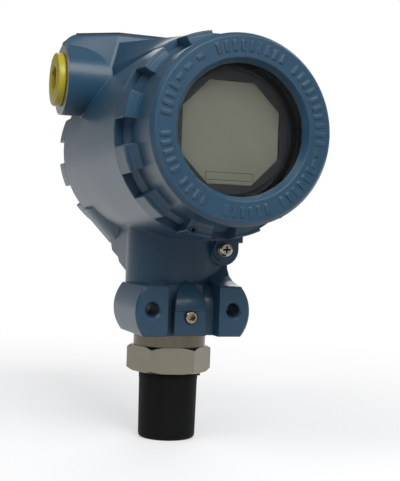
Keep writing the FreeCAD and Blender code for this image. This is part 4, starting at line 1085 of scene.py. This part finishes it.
@dataclass
class ConduitPlug(SubAssembly):
    """Plastic plug of the left conduit entry, with its seal in a groove behind the flange.

    Attributes:
        flange: Radius of the flange.
        socket: Half width across flats of the hexagon socket.
        socket_depth: Depth of the socket.
        mouth: Depth and widening of the rings at the socket's mouth, in millimetres.
        face: Depth of the rings of the flange's face, and how far they lie inside its rim, in millimetres.
        groove: Outer radius of the seal's groove.
        groove_depth: Depth at which the groove's floor lies, from the flange's face.
        shank: Radius over the thread.
        thread_depth: Depth of the thread.
        pitch: Pitch of the thread.
        around: Points round the axis; a multiple of 12.
    """

    flange: float = 12.0 * MM
    socket: float = 5.8 * MM
    socket_depth: float = 4.6 * MM
    mouth: tuple[tuple[float, float], ...] = ((0.35, 0.0), (0.1, 0.2), (0.0, 0.45))
    face: tuple[tuple[float, float], ...] = ((0.0, 2.6), (0.12, 2.3), (0.1, 0.9), (0.22, 0.4), (0.5, 0.1),
                                             (0.8, 0.0))
    groove: float = 10.9 * MM
    groove_depth: float = 2.75 * MM
    shank: float = 9.3 * MM
    thread_depth: float = 0.7 * MM
    pitch: float = 1.5 * MM
    around: int = 48

    def build(self) -> None:
        """Replace the plug and its seal by finer pieces."""
        low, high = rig.box("conduit_plug")
        _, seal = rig.box("conduit_plug_seal")
        mouth = seal.x - low.x
        origin = Vector((low.x, (low.y + high.y) / 2, (low.z + high.z) / 2))
        plug = skinned("plug_shell", self.turned(origin, self.plug_rings(mouth, high.x - low.x)))
        ring = skinned("plug_gasket", self.turned(origin, self.gasket_rings(mouth)), closed=True)
        for piece, node, body, finish in ((plug, "conduit_plug", "plug_body", "yellow_plastic"),
                                          (ring, "conduit_plug_seal", "plug_seal_body", "rubber")):
            self.attach(piece, body, self.slots[node], finish, node)

    def plug_rings(self, mouth: float, length: float) -> list[tuple[float, float, bool]]:
        """Rings of the plug from the socket's floor to the end of the shank.

        Args:
            mouth: Depth of the casting's end face below the flange's face.
            length: Whole length of the plug.

        Returns:
            Depth, radius or half width, and whether the ring is a hexagon.
        """
        rings = [(self.socket_depth, self.socket - 0.2 * MM, True),
                 (self.socket_depth * 0.4, self.socket, True)]
        rings += [(depth * MM, self.socket + wider * MM, True) for depth, wider in self.mouth]
        rings += [(depth * MM, self.flange - inset * MM, False) for depth, inset in self.face]
        rings += [(depth, radius, False) for depth, radius in (
            (mouth - 0.35 * MM, self.flange), (mouth - 0.05 * MM, self.flange - 0.3 * MM),
            (mouth - 0.05 * MM, self.groove), (self.groove_depth, self.groove),
            (self.groove_depth, self.shank - 0.1 * MM))]
        depth = mouth + 0.4 * MM
        rings.append((depth, self.shank - 0.1 * MM, False))
        while depth < length - 2.2 * self.pitch:
            rings += [(depth + 0.5 * self.pitch, self.shank - self.thread_depth, False),
                      (depth + 0.95 * self.pitch, self.shank, False),
                      (depth + 1.05 * self.pitch, self.shank, False)]
            depth += self.pitch
        rings += [(length - 0.8 * MM, self.shank - self.thread_depth, False),
                  (length, self.shank - self.thread_depth - 0.8 * MM, False)]
        return rings

    def gasket_rings(self, mouth: float) -> list[tuple[float, float, bool]]:
        """Rings of the seal's rounded section.

        Args:
            mouth: Depth of the casting's end face below the flange's face.

        Returns:
            Depth, radius and False for every ring.
        """
        middle = (self.groove_depth + mouth) / 2
        half = (mouth - self.groove_depth) / 2 - 0.02 * MM
        inner, outer = self.shank + 0.15 * MM, self.groove - 0.15 * MM
        centre, reach = (inner + outer) / 2, (outer - inner) / 2
        return [(middle + half * math.sin(a), centre + reach * math.cos(a), False)
                for a in (2 * math.pi * k / 12 for k in range(12))]

    def turned(self, origin: Vector, rings: list[tuple[float, float, bool]]) -> list[list]:
        """Points of rings round the conduit's axis.

        Args:
            origin: Point on the axis in the plane of the flange's face.
            rings: Depth, radius or half width, and whether the ring is a hexagon.

        Returns:
            The points of each ring.
        """
        sections = []
        for depth, size, hexagon in rings:
            section = []
            for k in range(self.around):
                angle = 2 * math.pi * k / self.around
                radius = size / math.cos((angle % (math.pi / 3)) - math.pi / 6) if hexagon else size
                section.append((origin.x + depth, origin.y + radius * math.sin(angle),
                                origin.z + radius * math.cos(angle)))
            sections.append(section)
        return sections


@dataclass
class SensorModule(SubAssembly):
    """Turned steel module with its measuring cell, board and lead."""

    plain: Names = ("isolating_diaphragm", "sensor_capsule", "header_pins", "sensor_board", "sensor_lead",
                    "neck_seal")
    special: Pairs = (("sensor_body", "turned_steel"),)


@dataclass
class ProcessCap(SubAssembly):
    """Soft cap over the process thread."""

    plain: Names = ("process_cap",)


# ---- Studio ----
@dataclass(frozen=True)
class Panel:
    """Soft rectangular lamp that faces the object.

    Attributes:
        name: Name of the lamp.
        place: Its middle.
        size: Width and height.
        power: Watts.
        color: Colour of the light.
    """

    name: str
    place: tuple[float, float, float]
    size: tuple[float, float]
    power: float
    color: Rgb = (1.0, 1.0, 1.0)

    def build(self, target: Vector) -> None:
        """Hang the lamp and turn it to the target.

        Args:
            target: Point that it faces.
        """
        lamp = bpy.data.lights.new(self.name, "AREA")
        lamp.shape = "RECTANGLE"
        lamp.size, lamp.size_y = self.size
        lamp.energy = self.power
        lamp.color = self.color
        holder = bpy.data.objects.new(self.name, lamp)
        bpy.context.scene.collection.objects.link(holder)
        holder.location = self.place
        holder.rotation_euler = (target - Vector(self.place)).to_track_quat("-Z", "Y").to_euler()


@dataclass(frozen=True)
class Camera:
    """Camera at the fitted viewing angle.

    Attributes:
        place: Where it stands.
        heading: Degrees that it looks to the right of +Y.
        rise: Degrees that it looks up.
        roll: Degrees that it leans about its own line of sight.
        lens: Focal length in millimetres on a 36 mm wide sensor.
    """

    place: tuple[float, float, float] = (-0.1357, -0.4144, 0.0865)
    heading: float = 19.76
    rise: float = 0.09
    roll: float = 1.97
    lens: float = 86.44

    def build(self) -> None:
        """Create the camera and make it the scene's own."""
        turn, up, lean = (math.radians(v) for v in (self.heading, self.rise, self.roll))
        sight = Vector((math.sin(turn) * math.cos(up), math.cos(turn) * math.cos(up), math.sin(up)))
        level = Vector((math.cos(turn), -math.sin(turn), 0.0))
        above = level.cross(sight)
        right = math.cos(lean) * level + math.sin(lean) * above
        top = -math.sin(lean) * level + math.cos(lean) * above
        pose = Matrix((right, top, -sight)).transposed().to_4x4()
        pose.translation = Vector(self.place)
        lens = bpy.data.cameras.new("camera")
        lens.lens = self.lens
        lens.sensor_width = 36.0
        lens.sensor_fit = "HORIZONTAL"
        camera = bpy.data.objects.new("camera", lens)
        bpy.context.scene.collection.objects.link(camera)
        camera.matrix_world = pose
        bpy.context.scene.camera = camera


@dataclass
class Studio:
    """Pale floor, soft light and camera.

    Attributes:
        floor_half: Half side of the floor.
        floor_color: Colour of the floor as seen.
        floor_bounce: Colour with which it lights the object.
        ambient: Even light that the room throws on the object.
        room: Radiance of the dim room in front of the object, as gloss shows it.
        backdrop: Radiance of the white backdrop behind and left of it.
        near: Distance from the object up to which the floor shows its shadow.
        far: Distance from which the floor is as white as the backdrop.
        veil: Share of that white close to the object.
        white_toward: Direction of the middle of the white backdrop.
        white_range: Cosines to that direction at which the white begins and is full.
        panels: The lamps.
    """

    floor_half: float = 6.0
    floor_color: Rgb = (0.93, 0.93, 0.93)
    floor_bounce: Rgb = (0.30, 0.30, 0.31)
    ambient: Rgb = (0.38, 0.39, 0.40)
    room: Rgb = (0.15, 0.155, 0.165)
    backdrop: Rgb = (1.0, 1.0, 1.0)
    near: float = 0.10
    far: float = 0.50
    veil: float = 0.35
    white_toward: tuple[float, float, float] = (-0.15, 0.985, -0.05)
    white_range: tuple[float, float] = (0.93, 1.03)
    panels: tuple[Panel, ...] = (
        Panel("key_panel", (0.05, -0.90, 0.80), (0.6, 0.6), 9.5),
        Panel("window_panel", (-0.62, -0.38, 0.90), (0.45, 0.45), 2.8),
        Panel("rear_panel", (0.45, 0.95, 0.55), (0.8, 0.8), 4.5))

    def build(self, low: Vector, high: Vector) -> None:
        """Set the whole studio round the object.

        Args:
            low: Lowest corner of the object.
            high: Highest corner of the object.
        """
        middle = (low + high) / 2
        self.floor(low.z)
        self.world()
        for panel in self.panels:
            panel.build(middle)
        Camera().build()

    def floor(self, height: float) -> None:
        """Plain pale floor under the object.

        Args:
            height: Height of the floor.
        """
        shape = bmesh.new()
        half = self.floor_half
        corners = ((-half, -half), (half, -half), (half, half), (-half, half))
        shape.faces.new([shape.verts.new((x, y, height)) for x, y in corners])
        piece = mesh_object("floor", shape)
        material = bpy.data.materials.new("floor_paper")
        material.use_nodes = True
        graph = Graph(material.node_tree)
        shader = graph.tree.nodes["Principled BSDF"]
        seen = self.seen(graph)
        graph.put(shader, Base_Color=graph.blend(seen, self.floor_bounce, self.floor_color),
                  Roughness=0.9, Specular_IOR_Level=0.1)
        away = graph.add("ShaderNodeMapRange", interpolation_type="SMOOTHSTEP")
        graph.put(away, Value=graph.radius(Axis.Z, Vector()), From_Min=self.near, From_Max=self.far,
                  To_Min=self.veil)
        white = graph.add("ShaderNodeEmission")
        graph.put(white, Color=self.backdrop)
        mix = graph.add("ShaderNodeMixShader")
        graph.put(mix, Fac=graph.product(seen, away.outputs["Result"]))
        graph.join(shader.outputs[0], mix.inputs[1])
        graph.join(white.outputs[0], mix.inputs[2])
        graph.join(mix.outputs[0], graph.tree.nodes["Material Output"].inputs["Surface"])
        piece.data.materials.append(material)
        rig.stage(piece)

    @staticmethod
    def seen(graph: Graph) -> bpy.types.NodeSocket:
        """Mask of the rays that see the studio.

        Args:
            graph: The floor's or the world's graph.

        Returns:
            1 for rays from the camera, from gloss and through glass.
        """
        path = graph.add("ShaderNodeLightPath")
        mirror = graph.math("MAXIMUM", path.outputs["Is Glossy Ray"], path.outputs["Is Transmission Ray"])
        return graph.math("MAXIMUM", path.outputs["Is Camera Ray"], mirror)

    def world(self) -> None:
        """White to the camera; to gloss and glass dim in front and white behind at the left."""
        world = bpy.data.worlds.new("studio")
        bpy.context.scene.world = world
        world.use_nodes = True
        graph = Graph(world.node_tree)
        background = graph.tree.nodes["Background"]
        direction = graph.add("ShaderNodeTexCoord").outputs["Generated"]
        toward = graph.vector("DOT_PRODUCT", direction, Vector(self.white_toward).normalized())
        ramp = graph.add("ShaderNodeMapRange", interpolation_type="SMOOTHSTEP")
        begins, full = self.white_range
        graph.put(ramp, Value=toward.outputs["Value"], From_Min=begins, From_Max=full)
        camera_ray = graph.add("ShaderNodeLightPath").outputs["Is Camera Ray"]
        white = graph.math("MAXIMUM", camera_ray, ramp.outputs["Result"])
        shown = graph.blend(white, self.room, self.backdrop)
        graph.put(background, Color=graph.blend(self.seen(graph), self.ambient, shown), Strength=1.0)


# ---- The whole part ----
def recess(face: Vector, shape: tuple[float, float, float]) -> Zone:
    """Zone of a driver recess, which is painted in shade.

    Args:
        face: Middle of the screw's outer face.
        shape: Radius and the recess's two ends below the face.

    Returns:
        The zone.
    """
    radius, near, far = shape
    return Zone(Axis.Y, radius, tuple(face), span=(face.y + near, face.y + far))


def all_finishes(drum: Vector, conduit: Vector, faces: tuple[float, float], boss_end: float, bore: float,
                 lock: Vector, ground: Vector) -> tuple[Finish, ...]:
    """Every finish of the part.

    Args:
        drum: Point on the drum axis.
        conduit: Point on the conduit axis.
        faces: Y of the front and the rear cover's joint.
        boss_end: X of the conduit entries' end faces.
        bore: Radius of the compartments.
        lock: Middle of the lock screw's outer face.
        ground: Middle of the ground screw's outer face.

    Returns:
        The finishes.
    """
    inside = Zone(Axis.Y, bore + 0.3 * MM, tuple(drum))
    entry = Zone(Axis.X, ENTRY_R, tuple(conduit))
    ends = Zone(Axis.X, boss_end - 0.1 * MM, None, Side.ABOVE, True)
    holes = tuple(Zone(Axis.Y, BRACKET_HOLE_R, (x, 0.0, BRACKET_HOLE_Z), span=BRACKET_HOLE_SPAN)
                  for x in BRACKET_HOLE_X)
    bare = {"housing": (inside, entry, ends) + holes,
            "front_cover": (Zone(Axis.Y, faces[0] + 0.1 * MM, None, Side.ABOVE),),
            "rear_cover": (Zone(Axis.Y, faces[1] - 0.1 * MM, None, Side.BELOW),)}
    # Colour, roughness, its spread, grain scale and height, scuff colour and largest share of scuffs.
    moulded = {
        "yellow_plastic": ((175, 160, 24), 0.36, 0.08, 1400.0, 0.00002, (168, 150, 40), 0.25),
        "black_plastic": ((38, 42, 44), 0.45, 0.08, 1600.0, 0.00002, (66, 68, 70), 0.15),
        "white_plastic": ((214, 214, 208), 0.4, 0.08, 1400.0, 0.00002, (180, 180, 172), 0.2),
        "rubber": ((26, 26, 27), 0.7, 0.08, 1800.0, 0.00003, (60, 60, 60), 0.2),
        "cable": ((60, 62, 66), 0.5, 0.08, 1800.0, 0.00002, (90, 90, 92), 0.2),
        "plate": ((26, 28, 30), 0.42, 0.10, 1500.0, 0.00001, (70, 74, 78), 0.25)}
    return (
        *(PaintFinish(f"{node}_paint", "paint", linear(40, 73, 96), 0.34, 0.07, 800.0, 0.00005, zones=zones)
          for node, zones in bare.items()),
        *(MouldedFinish(name, name, linear(*color), *grain, scuff=linear(*scuff), scuffed=scuffed)
          for name, (color, *grain, scuff, scuffed) in moulded.items()),
        PaintFinish("screw_paint", "paint", linear(38, 66, 90), 0.42, 0.07, 900.0, 0.00003, soften=0.0003),
        MetalFinish("turned_steel", "stainless", linear(146, 141, 127), 0.34, 0.12, 900.0, 0.000016,
                    marks=(0.05, 0.05, 1.0), marks_scale=2200.0, stain=linear(92, 87, 76),
                    # Painted shade on the collar under the housing, from 39.9 mm up.
                    thread=(1.5 * MM, 0.6 * MM, 24.0 * MM), painted_shade_above=39.9 * MM),
        MetalFinish("stainless", "stainless", linear(176, 170, 162), 0.32, 0.08, 900.0, 0.000008),
        MetalFinish("steel", "steel", linear(186, 184, 178), 0.30, 0.10, 1200.0, 0.000008),
        # The two screws' driver recesses are painted in shade.
        MetalFinish("lock_screw_steel", "steel", linear(168, 160, 142), 0.26, 0.08, 1200.0, 0.000008,
                    stain=linear(84, 78, 66), recess=recess(lock, HEXAGON_RECESS)),
        MetalFinish("ground_screw_steel", "steel", linear(190, 184, 168), 0.24, 0.08, 1200.0, 0.000008,
                    stain=linear(84, 78, 66), recess=recess(ground, CROSS_RECESS)),
        MetalFinish("brass", "brass", linear(190, 160, 96), 0.32, 0.10, 1200.0, 0.000008,
                    stain=linear(120, 94, 50)),
        MetalFinish("bare_aluminium", "bare_aluminium", linear(176, 178, 180), 0.36, 0.10, 1000.0, 0.00001),
        MouldedFinish("cap_plastic", "cap_plastic", linear(9, 11, 10), 0.62, 0.12, 900.0, 0.00004,
                      scuff=linear(28, 31, 30), scuffed=0.3, gloss=0.14),
        MouldedFinish("printed_line", "black_plastic", linear(46, 50, 52), 0.5, 0.05, 1600.0, 0.000002,
                      scuff=linear(60, 62, 64), scuffed=0.1, soften=0.0),
        GlassFinish("glass", "glass", (0.96, 0.98, 0.97), 0.0, 0.008),
        DisplayFinish("lcd", "lcd", linear(150, 148, 133), 0.32, 0.1, 1500.0, 0.000004),
        BoardFinish("board", "board", linear(22, 74, 46), 0.4, 0.12, 1000.0, 0.00003),
    )


def front_middle(node: str) -> Vector:
    """Middle of the front face of a node's box."""
    low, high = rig.box(node)
    return Vector(((low.x + high.x) / 2, low.y, (low.z + high.z) / 2))


def main() -> None:
    """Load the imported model, dress it, build the details and set the studio."""
    logging.basicConfig(level=logging.INFO, format="%(name)s: %(message)s")
    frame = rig.load()
    low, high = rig.bounds()
    bpy.context.scene.view_settings.view_transform = "Standard"
    slots = {part["node"]: part["material_slot"] for part in frame["record"]["subparts"]}
    plug_low, plug_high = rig.box("conduit_plug")
    housing_low, housing_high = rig.box("housing")
    _, seal_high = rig.box("front_cover_seal")
    drum = Vector((0.0, 0.0, front_middle("front_cover").z))
    conduit = Vector((0.0, (plug_low.y + plug_high.y) / 2, (plug_low.z + plug_high.z) / 2))
    bore = seal_high.x - SEAL_OVER_BORE
    faces = (housing_low.y - COVER_JOINT, housing_high.y + COVER_JOINT)
    effects = SharedEffects()
    finishes = {f.name: f.material(effects)
                for f in all_finishes(drum, conduit, faces, housing_high.x, bore,
                                      front_middle("sensor_lock_screw"), front_middle("ground_screw"))}
    for assembly in (Housing, FrontCover, RearCover, Display, Electronics, Terminals, ConduitPlug,
                     SensorModule, ProcessCap):
        assembly(finishes, slots).build()
    Studio().build(low, high)
    new_low, new_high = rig.bounds()
    with open(SIZE_FILE, "w") as out:
        json.dump({"cad": [list(low), list(high)], "visual": [list(new_low), list(new_high)]}, out)


if __name__ == "__main__":
    main()
